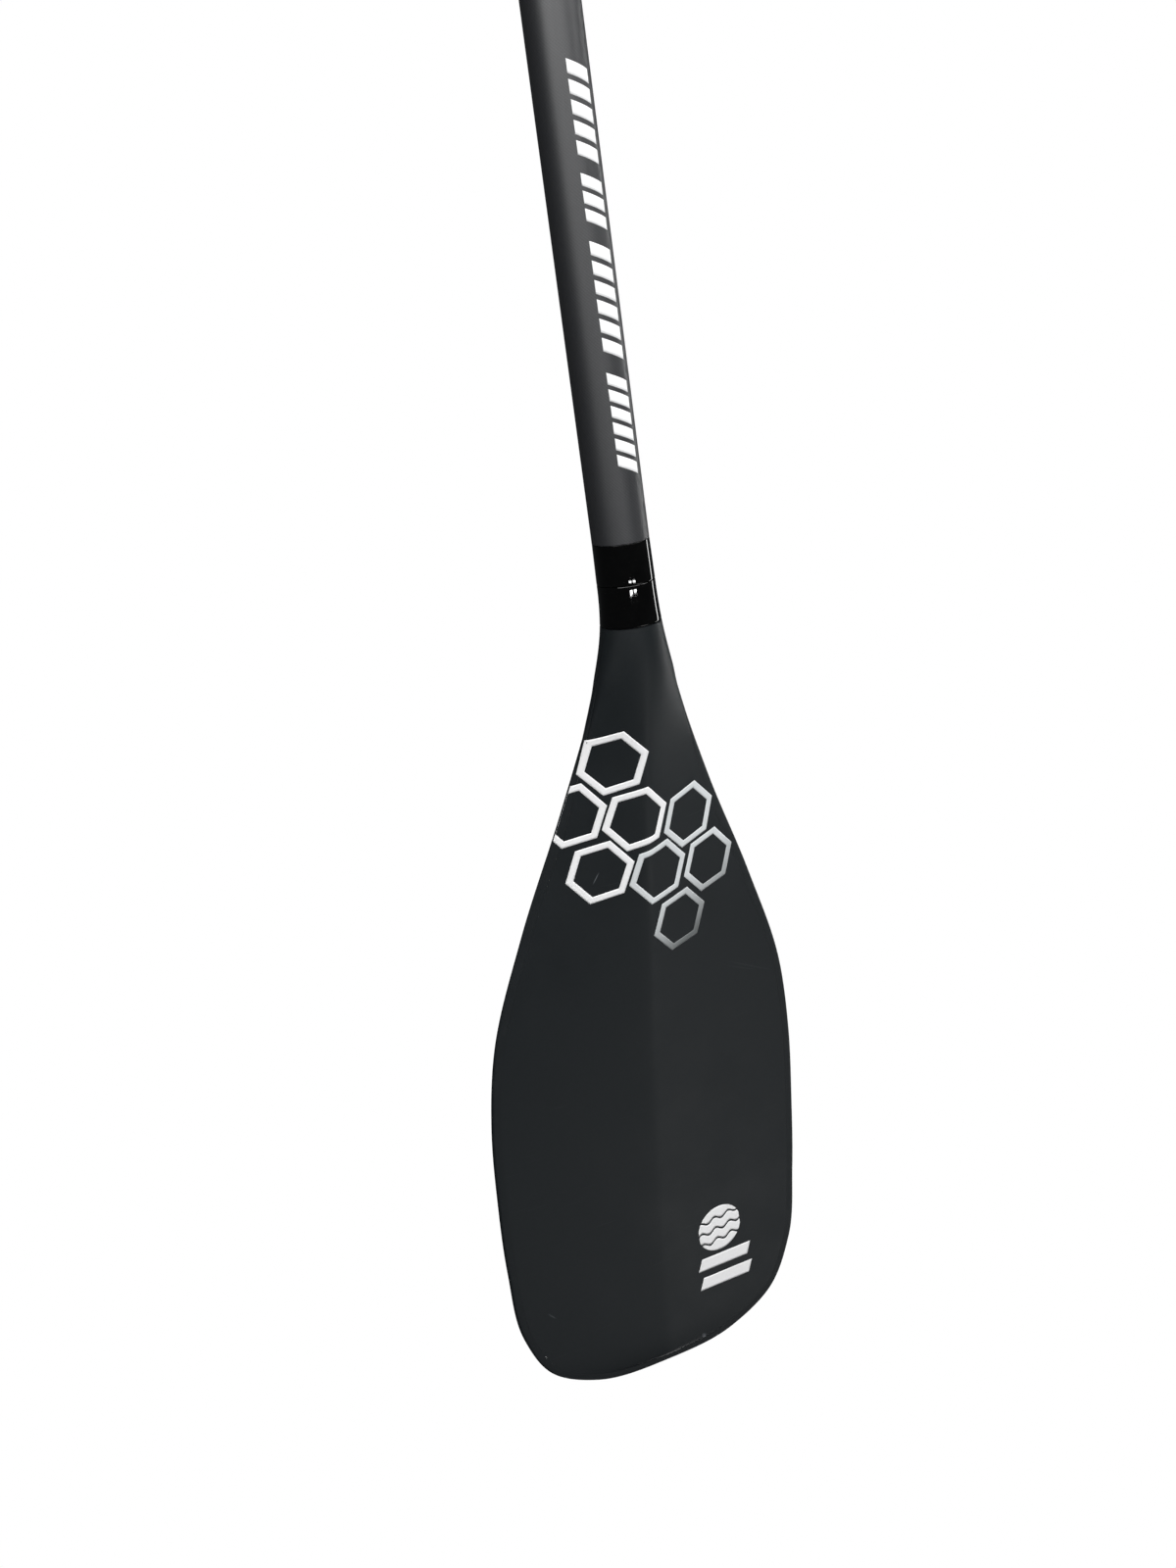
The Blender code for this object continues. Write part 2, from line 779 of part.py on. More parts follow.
def clamp_washer(paint):
    high = -(EAR_X + GAP)
    profile = tube_profile(BOLT_HEAD_RADIUS + 0.0006, BOLT_RADIUS + GAP, high - WASHER, high)
    return turned_tube(
        "clamp_washer", profile, paint, SMALL_ROUND, at=(0, BOLT_Y, BOLT_Z), turn=X_AXIS_TURN
    )


def clamp_pad(paint):
    low = EAR_X + GAP
    mesh = box_mesh(
        "clamp_pad",
        (low, BOLT_Y - PAD_HALF_WIDTH, BOLT_Z - PAD_HALF_HEIGHT),
        (low + PAD, BOLT_Y + PAD_HALF_WIDTH, BOLT_Z + PAD_HALF_HEIGHT),
    )
    pad = add_part("clamp_pad", mesh, paint)
    boolean(pad, bolt_hole("pad_bolt_hole"), "DIFFERENCE")
    return pad


def clamp_pin(paint):
    profile = rod_profile(PIN_RADIUS, -PIN_HALF_HEIGHT, PIN_HALF_HEIGHT)
    pin = turned_solid("clamp_pin", profile, paint, at=(PIN_X, BOLT_Y, BOLT_Z))
    name = "pin_bolt_hole"
    hole = rod_mesh(name, BOLT_RADIUS + GAP, 4 * PIN_RADIUS)
    boolean(pin, add_cutter(name, hole, (PIN_X, BOLT_Y, BOLT_Z), X_AXIS_TURN), "DIFFERENCE")
    return pin


def clamp_lever(paint):
    """Cam lever, closed round the collar. Its origin is on the pin's axis."""
    pivot = (PIN_X, BOLT_Y, BOLT_Z)
    hub = bmesh.new()
    bmesh.ops.create_cone(
        hub, cap_ends=True, segments=SMALL_ROUND, radius1=CAM_RADIUS, radius2=CAM_RADIUS,
        depth=2 * LEVER_HALF_HEIGHT,
    )
    bmesh.ops.translate(hub, verts=hub.verts, vec=(-CAM_OFFSET, 0, 0))
    lever = add_part("clamp_lever", mesh_from(hub, "clamp_lever"), paint, at=pivot)
    arm = plate_mesh("lever_arm", lever_arm_outline(), ARM_HALF_HEIGHT)
    slot = rod_mesh("lever_slot", LEVER_SLOT_RADIUS, 2 * LEVER_SLOT_HALF)
    hole = rod_mesh("lever_pin_hole", PIN_RADIUS + RUN, 4 * LEVER_HALF_HEIGHT)
    boolean(lever, add_cutter("lever_arm", arm, (0, 0, BOLT_Z)), "UNION")
    boolean(lever, add_cutter("lever_slot", slot, pivot), "DIFFERENCE")
    boolean(lever, add_cutter("lever_pin_hole", hole, pivot), "DIFFERENCE")
    return lever


def lever_arm_outline():
    """The arm seen from above: straight off the cam, then round the collar to a thumb tip."""
    outer = arc((0, 0), ARM_OUTER, ARM_FIRST, ARM_LAST, 10)
    inner = arc((0, 0), ARM_INNER, ARM_LAST + TIP_INNER_TURN, ARM_FIRST, 10)
    tip = [
        on_circle(ARM_OUTER + TIP_OUT, ARM_LAST - TIP_TURN),
        on_circle(ARM_OUTER + TIP_IN, ARM_LAST - TIP_NOSE_TURN),
    ]
    root_outer = (PIN_X + 0.8 * CAM_RADIUS, BOLT_Y - 0.001)
    root_inner = (PIN_X - 0.55 * CAM_RADIUS, BOLT_Y - 0.0035)
    return [root_inner, root_outer, *outer, *tip, *inner]


# ---------------------------------------------------------------- extension pieces


def extension_tube(paint):
    tube = turned_tube(
        "extension_tube", tube_profile(TUBE_RADIUS, TUBE_BORE, TUBE_LOW, TUBE_TOP), paint
    )
    groove = box_mesh(
        "key_groove",
        (-GROOVE_WIDTH / 2, GROOVE_FLOOR, TUBE_LOW - OVERCUT),
        (GROOVE_WIDTH / 2, TUBE_RADIUS + OVERCUT, TUBE_TOP - GROOVE_STOP),
    )
    boolean(tube, add_cutter("key_groove", groove), "DIFFERENCE")
    return tube


def extension_guide(paint):
    outer = SHAFT_BORE - RUN
    spigot = TUBE_BORE - GAP
    shoulder = TUBE_LOW - GAP
    profile = [
        (spigot, TUBE_LOW + GUIDE_SPIGOT),
        (spigot, shoulder),
        (outer, shoulder),
        (outer, shoulder - GUIDE_DROP),
        (GUIDE_BORE, shoulder - GUIDE_DROP),
        (GUIDE_BORE, TUBE_LOW + GUIDE_SPIGOT),
    ]
    return turned_tube("extension_guide", profile, paint, SMALL_ROUND)


def extension_plug(paint):
    low = TUBE_LOW + GUIDE_SPIGOT + GAP
    profile = rod_profile(TUBE_BORE - GAP, low, low + TUBE_PLUG_LENGTH)
    return turned_solid("extension_plug", profile, paint)


# ---------------------------------------------------------------- grip pieces


def grip_size(share, inset):
    """Half width, half depth and height of the grip, from its foot at 0 to its crown at 1."""
    rise = GRIP_HEIGHT * share
    if rise <= GRIP_SHOULDER:
        climb = rise / GRIP_SHOULDER
        width = mix(GRIP_FOOT, GRIP_HALF_WIDTH, smooth_step(climb, 0.12, 1.15) ** 1.3)
        depth = mix(GRIP_FOOT, GRIP_WAIST, smooth_step(climb, 0.0, 0.6))
        depth = mix(depth, GRIP_PALM, smooth_step(climb, 0.5, 1.0))
        return width - inset, depth - inset, rise
    over = (rise - GRIP_SHOULDER) / (GRIP_HEIGHT - GRIP_SHOULDER)
    crown = math.sqrt(max(1 - over * over, 0.0))
    width = mix(GRIP_FOOT, GRIP_HALF_WIDTH, smooth_step(1.0, 0.12, 1.15) ** 1.3)
    return (width - inset) * crown**0.8, (GRIP_PALM - inset) * crown, rise


def grip_shares(low, high):
    """Heights of the sections, closer together near the crown."""
    return [low + (high - low) * math.sin(math.pi / 2 * n / GRIP_ROWS) for n in range(GRIP_ROWS + 1)]


def squared(value):
    return math.copysign(abs(value) ** GRIP_SQUARENESS, value)


def grip_half(name, side, paint):
    """Half of the grip: a wall round a hollow, open at the join, with a bore for the stem."""
    rings = []
    for share in grip_shares(0.0, 1.0):
        width, depth, rise = grip_size(share, 0.0)
        angles = [math.pi * n / GRIP_SIDES for n in range(GRIP_SIDES + 1)]
        ring = []
        for angle in angles:
            x = squared(math.cos(angle)) * width
            y = side * (HALF_GAP + squared(math.sin(angle)) * depth)
            ring.append(Vector((x, y, TUBE_TOP + rise)))
        rings.append(ring)
    half = add_part(name, loft(name, rings, "pointed", merge=CROWN_MERGE), paint)
    boolean(half, add_cutter(f"{name}_hollow", grip_hollow(f"{name}_hollow")), "DIFFERENCE")
    bore = rod_mesh(f"{name}_bore", STEM_RADIUS + GAP, 2 * (STEM_UP + GAP))
    boolean(half, add_cutter(f"{name}_bore", bore, (0, 0, TUBE_TOP)), "DIFFERENCE")
    return half


def grip_hollow(name):
    """The space inside both halves."""
    low = GRIP_SOLID_FOOT / GRIP_HEIGHT
    high = 1 - GRIP_WALL / GRIP_HEIGHT
    rings = []
    for share in grip_shares(low, high):
        width, depth, rise = grip_size(share, GRIP_WALL)
        crown = math.sqrt(max(1 - (share / high) ** 8, 0.0))
        angles = [math.tau * n / (2 * GRIP_SIDES) for n in range(2 * GRIP_SIDES)]
        ring = []
        for angle in angles:
            x = squared(math.cos(angle)) * width * crown
            y = squared(math.sin(angle)) * depth * crown
            ring.append(Vector((x, y, TUBE_TOP + rise)))
        rings.append(ring)
    return loft(name, rings, "pointed", merge=CROWN_MERGE)


def handle_stem(paint):
    profile = tube_profile(STEM_RADIUS, STEM_BORE, TUBE_TOP - STEM_DOWN, TUBE_TOP + STEM_UP)
    return turned_tube("handle_stem", profile, paint, SMALL_ROUND)


def handle_ring(paint):
    high = TUBE_TOP - GAP
    low = high - RING_HEIGHT
    profile = [
        (RING_RADIUS, high),
        (RING_RADIUS, low + RING_CHAMFER),
        (RING_RADIUS - RING_CHAMFER, low),
        (TUBE_RADIUS + GAP, low),
        (TUBE_RADIUS + GAP, high),
    ]
    return turned_tube("handle_ring", profile, paint)


# ---------------------------------------------------------------- assembly


def smooth_shading():
    for obj in collection(PARTS).objects:
        if obj.type == "MESH" and obj.data.polygons:
            obj.data.shade_smooth()
            obj.data.set_sharp_from_angle(angle=math.radians(40))


def build():
    clear_scene()
    carbon = material("carbon", (0.035, 0.036, 0.038), 0.45)
    matte = material("blade_matte", (0.020, 0.024, 0.027), 0.60)
    gloss = material("gloss_black", (0.004, 0.004, 0.005), 0.08)
    edge = material("edge_black", (0.015, 0.017, 0.019), 0.55)
    foam = material("foam", (0.75, 0.72, 0.62), 0.90)
    rubber = material("plug_rubber", (0.03, 0.03, 0.03), 0.80)
    plastic = material("black_plastic", (0.018, 0.018, 0.020), 0.45)
    steel = material("steel", (0.60, 0.60, 0.62), 0.25, metallic=1.0)

    blade_core(foam)
    blade_skin("blade_power_face", front_height, 1, matte)
    blade_skin("blade_back_face", back_height, -1, matte)
    blade_rail(edge)
    neck_band(gloss)
    blade_ferrule(carbon)
    ferrule_plug(rubber)
    snap_button(steel)
    snap_spring(steel)

    main_shaft(carbon)
    shaft_end_band(gloss)
    shaft_plug(foam)

    clamp_collar(plastic)
    clamp_bush(plastic)
    clamp_bolt(steel)
    clamp_washer(steel)
    clamp_pad(steel)
    clamp_pin(steel)
    clamp_lever(plastic)

    moving = [
        extension_tube(carbon),
        extension_guide(plastic),
        extension_plug(foam),
        handle_stem(plastic),
        handle_ring(gloss),
        grip_half("handle_front_shell", -1, plastic),
        grip_half("handle_back_shell", 1, plastic),
    ]
    parent_to("extension", (0, 0, SHAFT_TOP), moving)
    smooth_shading()


build()
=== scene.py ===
"""The looks of the adjustable single blade paddle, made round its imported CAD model.

Metres, in the CAD model's own frame: the shaft's axis is Z, the blade is at its lower end, and the
power face looks towards -Y. A place on the blade is given as s, its distance below the seam.
"""
import math
from bisect import bisect_left

import bmesh
import bpy
from mathutils import Matrix, Vector


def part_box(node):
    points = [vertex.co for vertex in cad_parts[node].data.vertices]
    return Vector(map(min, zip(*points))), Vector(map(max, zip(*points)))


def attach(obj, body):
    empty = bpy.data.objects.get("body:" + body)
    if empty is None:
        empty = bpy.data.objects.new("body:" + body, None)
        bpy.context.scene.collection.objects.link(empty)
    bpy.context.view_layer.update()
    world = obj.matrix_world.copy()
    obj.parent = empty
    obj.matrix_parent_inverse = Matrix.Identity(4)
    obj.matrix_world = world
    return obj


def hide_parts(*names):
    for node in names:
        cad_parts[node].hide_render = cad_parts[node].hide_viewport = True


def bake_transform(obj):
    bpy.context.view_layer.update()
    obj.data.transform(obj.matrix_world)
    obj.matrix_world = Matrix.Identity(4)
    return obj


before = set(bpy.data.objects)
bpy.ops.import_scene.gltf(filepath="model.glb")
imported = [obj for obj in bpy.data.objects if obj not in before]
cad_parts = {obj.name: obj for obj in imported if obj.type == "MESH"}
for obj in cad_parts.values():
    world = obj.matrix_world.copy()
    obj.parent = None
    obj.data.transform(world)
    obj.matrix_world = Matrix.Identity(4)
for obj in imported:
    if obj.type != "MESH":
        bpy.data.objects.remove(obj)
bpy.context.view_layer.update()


def middle_of(node):
    low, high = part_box(node)
    return (low + high) / 2


# Places that the CAD model gives, and the gap that it keeps between its pieces
HALF_GAP = 0.00015
GAP = 2 * HALF_GAP
SEAM_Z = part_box("shaft_end_band")[0].z - HALF_GAP
SHAFT_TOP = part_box("main_shaft")[1].z
SHAFT_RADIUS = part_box("main_shaft")[1].x
TUBE_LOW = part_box("extension_tube")[0].z
TUBE_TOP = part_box("extension_tube")[1].z
TUBE_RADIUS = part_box("extension_tube")[1].x
FERRULE_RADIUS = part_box("blade_ferrule")[1].x
BUTTON_Z = sum(corner.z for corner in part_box("snap_button")) / 2
BOLT = middle_of("clamp_washer")
PIN = middle_of("clamp_pin")
PIN_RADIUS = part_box("clamp_pin")[1].x - PIN.x
COLLAR_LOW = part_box("clamp_collar")[0].z
COLLAR_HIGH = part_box("clamp_collar")[1].z
COLLAR_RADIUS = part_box("clamp_collar")[1].x
EAR_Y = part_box("clamp_collar")[1].y

# Mesh making
SHARP_ANGLE = math.radians(38)
ROUNDED_ANGLE = math.radians(32)
MERGE_FINE = 0.0000005
MERGE = 0.000001
MERGE_COARSE = 0.00001
SLIVER_AREA = 1e-14
ROUND_STEPS = 128
ROD_STEPS = 64
SMALL_STEPS = 48
CAM_STEPS = 96
NO_TURN = (0.0, 0.0)
Y_AXIS_TURN = (-math.pi / 2, 0.0)  # turns local +Z to +Y
X_AXIS_TURN = (0.0, math.pi / 2)  # turns local +Z to +X
ALONG_BOLT = ((0, BOLT.y, BOLT.z), X_AXIS_TURN)
OVERRUN = 0.001  # how far a cutter runs past the piece

# Blade outline: distance below the seam, and half width there
OUTLINE = [
    (0.000, 0.0153),
    (0.024, 0.0169),
    (0.052, 0.0232),
    (0.122, 0.0462),
    (0.192, 0.0733),
    (0.257, 0.0939),
    (0.307, 0.0998),
    (0.357, 0.1005),
    (0.406, 0.0990),
    (0.455, 0.0932),
    (0.485, 0.0780),
    (0.5025, 0.0480),
    (0.5078, 0.0),
]
BLADE_LENGTH = OUTLINE[-1][0]
NECK_TOP = 0.0216
NECK_END = 0.102
NECK_DEPTH = 0.0153
NECK_DEPTH_TAPER = 0.008
NECK_DEPTH_GROWTH = 0.038
NECK_SKIN = 0.0012
BEND_START = -0.002
BEND_END = 0.076
BEND = math.radians(14.7)
SCOOP = math.radians(24.5)  # for each metre below the bend
ROOF_START = 0.062
ROOF_NECK = math.radians(20.6)
ROOF_MIDDLE = math.radians(7.1)
ROOF_TIP = math.radians(3.4)
RIDGE_ROUND = 0.003
EDGE_HALF = 0.0017
BACK_HOLLOW = 0.35
SPINE_HEIGHT = 0.0125
SPINE_HALF_WIDTH = 0.020
SPINE_END = 0.402
SPINE_FILL = 0.5  # share of the back's hollow that the spine fills
SKIN = 0.0009
SKIN_JOIN = 0.00005
FINE_STEPS = 2400
CENTRE_LINE_STEPS = 64
BLADE_ROWS = 190
BLADE_COLUMNS = 84
RIDGE_CROWDING = 0.72  # 0 spreads the columns evenly in angle, 1 puts them all at the ridge

# Edge rail
RAIL_START = 0.060
RAIL_FULL = 0.137
RAIL_RAMP = 0.012
RAIL_WIDTH_FIRST = 0.0004
RAIL_WIDTH = 0.005
RAIL_SEGMENTS = 8
RAIL_FRONT_ROUND = 0.0012
RAIL_BACK_ROUND = 0.0037
RAIL_ROUND_MOST = 0.8  # most of the rail's width that a rounding may take
RAIL_LEAST = 0.3  # least height of the rail's front, as a share of its back
RAIL_ACROSS_LEAST = 0.5  # keeps the slope finite where the outline runs across the blade
EDGE_TRIM = 0.00003  # keeps the fine edge inside the coarser CAD outline
SEAM_SHARE = 0.3  # the drawn seam between skin and rail is finer than the CAD model's gap

# Gloss sleeves, shaft, button and its spring
SEAM_RIM_ALONG = 0.0005
SEAM_RIM_DROP = 0.0002
LOWER_RIM = 0.0007
UPPER_RIM = 0.00015
RIM_STEPS = 6
SLEEVE_STEPS = 10
SLEEVE_SEAT = 0.0004
SHAFT_NECKING = 0.0007
HOLE_INNER = 0.008
HOLE_OUTER = 0.020
HOLE_MARGIN = 0.008
BUTTON_RADIUS = 0.00375
BUTTON_DOME = 0.0011
BUTTON_DOME_POWER = 0.7
BUTTON_DOME_STEPS = 8
BUTTON_FLANGE = 0.001
LEAF_THICKNESS = 0.0005
LEAF_EDGE = 0.00012
LEAF_BEND_STEPS = 24
LEAF_COLUMNS = 4

# Prints
INK_LIFT = 0.00010
INK_THICKNESS = 0.00004
PRINT_INSET = 0.0005
HEXAGONS = {  # centre's distance below the seam and its x, corner radius, line width, lean in degrees
    "first": (0.0953, -0.0180, 0.0195, 0.0039, -16.5),
    "cut": (0.1237, -0.0409, 0.0194, 0.0038, -19.0),
    "middle": (0.1304, -0.0061, 0.0197, 0.0038, -19.0),
    "right": (0.1399, 0.0292, 0.0191, 0.0036, -18.0),
    "left": (0.1593, -0.0278, 0.0194, 0.0038, -19.5),
    "ridge": (0.1664, 0.0066, 0.0193, 0.0035, -19.0),
    "far_right": (0.1727, 0.0424, 0.0188, 0.0035, -19.0),
    "last": (0.2015, 0.0198, 0.0190, 0.0036, -19.0),
}
SILVER_HEXAGONS = ("right", "ridge", "far_right", "last")
HEX_SIDE_STEPS = 24
HEX_LINE_STEPS = 4
MARK_S = 0.4255
MARK_X = 0.0413
MARK_RADIUS = 0.0155
MARK_TURN = math.radians(-5.0)
WAVE_BANDS = 4
WAVE_COUNT = 3
WAVE_HEIGHT = 0.0013
WAVE_GAP = 0.0014
WAVE_COLUMNS = 64
WAVE_ROWS = 6
WAVE_LEAST = 0.00005  # a band narrower than this is left open
BAR_LENGTH = 0.0362
BAR_HEIGHT = 0.0085
BAR_TURN = math.radians(2.0)
BAR_SLANT = 0.3
BAR_ROWS = 8
BAR_COLUMNS = 32
BAR_PLACES = [(0.4481, 0.0439), (0.4618, 0.0444)]
SHAFT_MARKS = [(0.258, 0.211, 5), (0.205, 0.180, 3), (0.173, 0.117, 6), (0.109, 0.060, 6)]
SHAFT_MARK_ANGLES = (math.radians(-13), math.radians(34))
SHAFT_MARK_DROP = 0.0057
SHAFT_MARK_FILL = 0.72
TUBE_PRINT_COLUMNS = 24
TUBE_PRINT_ROWS = 4
TICK_PITCH = 0.010
TICK_FIRST = TUBE_TOP - 0.060
TICK_COUNT = 56
TICKS_TO_A_LONG_ONE = 5
TICK_HEIGHT = 0.0006
TICK_SHORT = math.radians(9)
TICK_LONG = math.radians(17)

# Clamp
COLLAR_BORE = SHAFT_RADIUS + GAP
COLLAR_RIBS = 3
COLLAR_RIB_FIRST = 0.0030
COLLAR_RIB_PITCH = 0.0050
COLLAR_RIB = ((0.0013, 0), (0.0009, 0.0005), (-0.0009, 0.0005), (-0.0013, 0))  # height, rise
EAR_X = 0.0085
EAR_HALF_HEIGHT = 0.011
SLIT = 0.0024
SLIT_REACH = 0.004
BUSH_SLIT = 0.0015
BUSH_SLIT_REACH = 0.002
GROOVE_FLOOR = 0.0122
GROOVE_WIDTH = 0.0038
BOLT_RADIUS = 0.0022
BOLT_HOLE_REACH = 0.030
SOCKET_RADIUS = 0.0023
SOCKET_DEPTH = 0.0022
SOCKET_SIDES = 6
CAM_RADIUS = 0.0067
CAM_OFFSET = 0.0007
LEVER_HALF_HEIGHT = 0.0115
LEVER_SLOT_HALF = 0.003
LEVER_SLOT_RADIUS = 0.0082
PIN_HOLE_REACH = 0.02
ARM_HALF_HEIGHT = 0.0095
ARM_INNER = 0.0202
ARM_OUTER = 0.0240
ARM_FIRST = math.radians(20)
ARM_LAST = math.radians(-64)
ARM_STEPS = 40
ARM_INNER_SHORT = 0.12  # in radians, as are the tip's two turns
TIP_POINTS = ((0.0040, 0.14), (0.0015, 0.17))  # distance out from the arm, turn past its end
ARM_ROOT_OUTER = (0.8, -0.001)  # X in cam radii, Y, both from the pin
ARM_ROOT_INNER = (-0.55, -0.0035)
THUMB_RIBS = 4
THUMB_RIB_FIRST = 0.10
THUMB_RIB_PITCH = 0.085
THUMB_RIB_RADIUS = 0.0006
THUMB_RIB_OUT = 0.0001
THUMB_RIB_SHORT = 0.002
THUMB_RIB_STEPS = 16

# Extension and grip
TUBE_BORE = 0.0115
GROOVE_END = 0.030
RING_RIM = 0.0016
RING_TOP_SHARE = 0.4
GRIP_HEIGHT = 0.062
GRIP_SHOULDER = 0.040
GRIP_HALF_WIDTH = 0.053
GRIP_FOOT = 0.0162
GRIP_WAIST = 0.0150
GRIP_WAIST_SHARE = 0.6
GRIP_PALM = 0.0168
GRIP_PALM_SHARE = 0.5
GRIP_FLARE = (0.12, 1.15)
GRIP_FLARE_POWER = 1.3
GRIP_CROWN_POWER = 0.8
GRIP_WALL = 0.003
GRIP_SOLID_FOOT = 0.014
GRIP_ROWS = 44
GRIP_SIDES = 44
GRIP_SQUARENESS = 0.85
GRIP_SEAM = 0.0005
STEM_BORE_REACH = 0.01
HOLLOW_ROWS = 20
HOLLOW_SIDES = 48
HOLLOW_CROWN_POWER = 8

# Colours
BLADE_DARK = (0.0086, 0.0111, 0.0128)
BLADE_LIGHT = (0.0099, 0.0126, 0.0144)
SCRATCH_COLOUR = (0.10, 0.11, 0.12)
EDGE_DARK = (0.0088, 0.0113, 0.0130)
EDGE_RUBBED = (0.0112, 0.0139, 0.0157)
CARBON_DARK = (0.014, 0.015, 0.017)
CARBON_LIGHT = (0.026, 0.027, 0.030)
GLOSS_DARK = (0.0010, 0.0010, 0.0010)
# a little lighter: painted sheen on the crests of the gloss coat's waves
GLOSS_PAINTED_SHEEN = (0.0018, 0.0018, 0.0018)
DUST_COLOUR = (0.08, 0.08, 0.08)
INK_LIGHT = (0.97, 0.97, 0.97)
INK_WORN = (0.92, 0.92, 0.93)
SILVER_LIGHT = (0.70, 0.73, 0.74)
SILVER_DARK = (0.13, 0.14, 0.14)
NYLON_DARK = (0.012, 0.012, 0.012)
NYLON_LIGHT = (0.017, 0.017, 0.017)
GRIP_DARK = (0.014, 0.014, 0.014)
GRIP_LIGHT = (0.020, 0.020, 0.020)
STEEL_DARK = (0.50, 0.50, 0.51)
STEEL_LIGHT = (0.66, 0.66, 0.67)
# colour of the painted shade in the foam's cell hollows
FOAM_PAINTED_PIT_SHADE = (0.52, 0.49, 0.41)
FOAM_LIGHT = (0.78, 0.75, 0.66)
RUBBER_DARK = (0.02, 0.02, 0.02)
RUBBER_BLOOM = (0.045, 0.045, 0.045)
SILVER_FADE_WAY = (0.6, 0.0, -1.03)  # the fade runs down the blade and to its right
SILVER_FADE = (0.195, 0.235)  # where it starts and ends, from the seam
TWILL_ROUND = 56  # repeats of the twill round the tube
TWILL_PITCH = 0.0017
SCUFFS = [  # place, turn about Y, length, width, strength
    ((-0.0302, 0, -0.5090), math.radians(-60), 0.0082, 0.0007, 0.9),
    ((0.0705, 0, -0.5960), math.radians(28), 0.0440, 0.0007, 0.12),
    ((0.0640, 0, -0.5950), math.radians(26), 0.0300, 0.0006, 0.10),
    ((-0.0750, 0, -0.7850), math.radians(47), 0.0080, 0.0011, 0.30),
    ((0.0260, 0, -0.8410), math.radians(60), 0.0060, 0.0034, 0.8),
]

# Stage, lights and camera
CAMERA_PLACE = Vector((-0.4720, -0.9169, -0.1629))
CAMERA_RIGHT = Vector((0.879, -0.45793, -0.13289))
CAMERA_UP = Vector((0.23983, 0.18372, 0.95327))
CAMERA_LENS = 46.12
FLOOR_Z = -0.90
FLOOR_SIZE = 12.0
FILL_COLOUR = (0.90, 0.96, 1.0, 1.0)
FILL_STRENGTH = 0.04
LIGHT_AIM = Vector((0, 0, -0.35))
LIGHTS = [  # name, (turn, rise, distance), width, height, power
    ("front_softbox", (-5, 25, 1.8), 2.0, 0.8, 23),
    ("left_softbox", (-50, 25, 1.8), 0.8, 0.8, 13),
    ("right_softbox", (55, 35, 1.8), 0.8, 1.3, 16),
    ("low_softbox", (35, -45, 1.8), 0.8, 0.8, 3.6),
    ("side_strip", (97, -10, 1.6), 0.13, 1.6, 6),
    ("window_left", (-11, -11.4, 1.6), 0.28, 0.016, 0.6),
    ("window_right", (5, -11.4, 1.6), 0.28, 0.016, 0.6),
    ("back_softbox", (140, 66, 1.8), 1.2, 1.0, 34),
    ("back_low_softbox", (140, -52, 1.8), 1.2, 1.0, 20),
]


# ---- mesh helpers


def new_object(name, data):
    obj = bpy.data.objects.new(name, data)
    bpy.context.scene.collection.objects.link(obj)
    return obj


def object_from(name, bm, paint):
    bmesh.ops.recalc_face_normals(bm, faces=bm.faces)
    mesh = bpy.data.meshes.new(name)
    bm.to_mesh(mesh)
    bm.free()
    mesh.shade_smooth()
    mesh.set_sharp_from_angle(angle=SHARP_ANGLE)
    mesh.materials.append(paint)
    return new_object(name, mesh)


def bake(obj):
    """Applies the modifiers to the mesh."""
    bpy.context.view_layer.update()
    evaluated = obj.evaluated_get(bpy.context.evaluated_depsgraph_get())
    mesh = bpy.data.meshes.new_from_object(evaluated)
    obj.modifiers.clear()
    obj.data = mesh


def combine(piece, operation, others):
    """Joins other shapes on, or cuts them away, one after the other, and removes them."""
    for other in others:
        modifier = piece.modifiers.new(operation, "BOOLEAN")
        modifier.operation = operation
        modifier.object = other
        modifier.solver = "EXACT"
        bake(piece)
        bpy.data.objects.remove(other, do_unlink=True)


def cut(piece, *others):
    combine(piece, "DIFFERENCE", others)


def join(piece, *others):
    combine(piece, "UNION", others)


def soften(obj, width, segments=3):
    """Rounds the piece's sharp edges."""
    bevel = obj.modifiers.new("Rounded edges", "BEVEL")
    bevel.width = width
    bevel.segments = segments
    bevel.limit_method = "ANGLE"
    bevel.angle_limit = ROUNDED_ANGLE
    bevel.use_clamp_overlap = True
    normals = obj.modifiers.new("Face normals", "WEIGHTED_NORMAL")
    normals.keep_sharp = True
    bake(obj)


def thicken(obj, thickness):
    """Gives a sheet its thickness, half to each side."""
    solid = obj.modifiers.new("Thickness", "SOLIDIFY")
    solid.thickness = thickness
    solid.offset = 0


def place(obj, body, slot=None, stands_for=None):
    """Puts a finished piece on its CAD body, in the place of a CAD node if it stands for one."""
    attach(obj, body)
    if stands_for:
        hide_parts(stands_for)


def add_grid(bm, rows, closed=False):
    """Quads between rows of points that have the same length."""
    made = [[bm.verts.new(point) for point in row] for row in rows]
    for one, two in zip(made, made[1:]):
        count = len(one) if closed else len(one) - 1
        for n in range(count):
            after = (n + 1) % len(one)
            bm.faces.new((one[n], one[after], two[after], two[n]))
    return made


def merge(bm, distance):
    """Joins the points that lie together."""
    bmesh.ops.remove_doubles(bm, verts=bm.verts, dist=distance)


def weld(bm, distance):
    """Joins the points that lie together, and drops the faces that have no area."""
    merge(bm, distance)
    thin = [face for face in bm.faces if face.calc_area() < SLIVER_AREA]
    bmesh.ops.delete(bm, geom=thin, context="FACES_ONLY")


def loft(name, rings, paint, distance, last_cap=False):
    """A skin over rings of points, with a cap on the first ring and, if asked, on the last."""
    bm = bmesh.new()
    rows = add_grid(bm, rings, closed=True)
    bm.faces.new(rows[0])
    if last_cap:
        bm.faces.new(rows[-1])
    merge(bm, distance)
    return object_from(name, bm, paint)


def turns(angle, steps):
    """Evenly spaced angles from 0 to an angle."""
    return [angle * n / steps for n in range(steps + 1)]


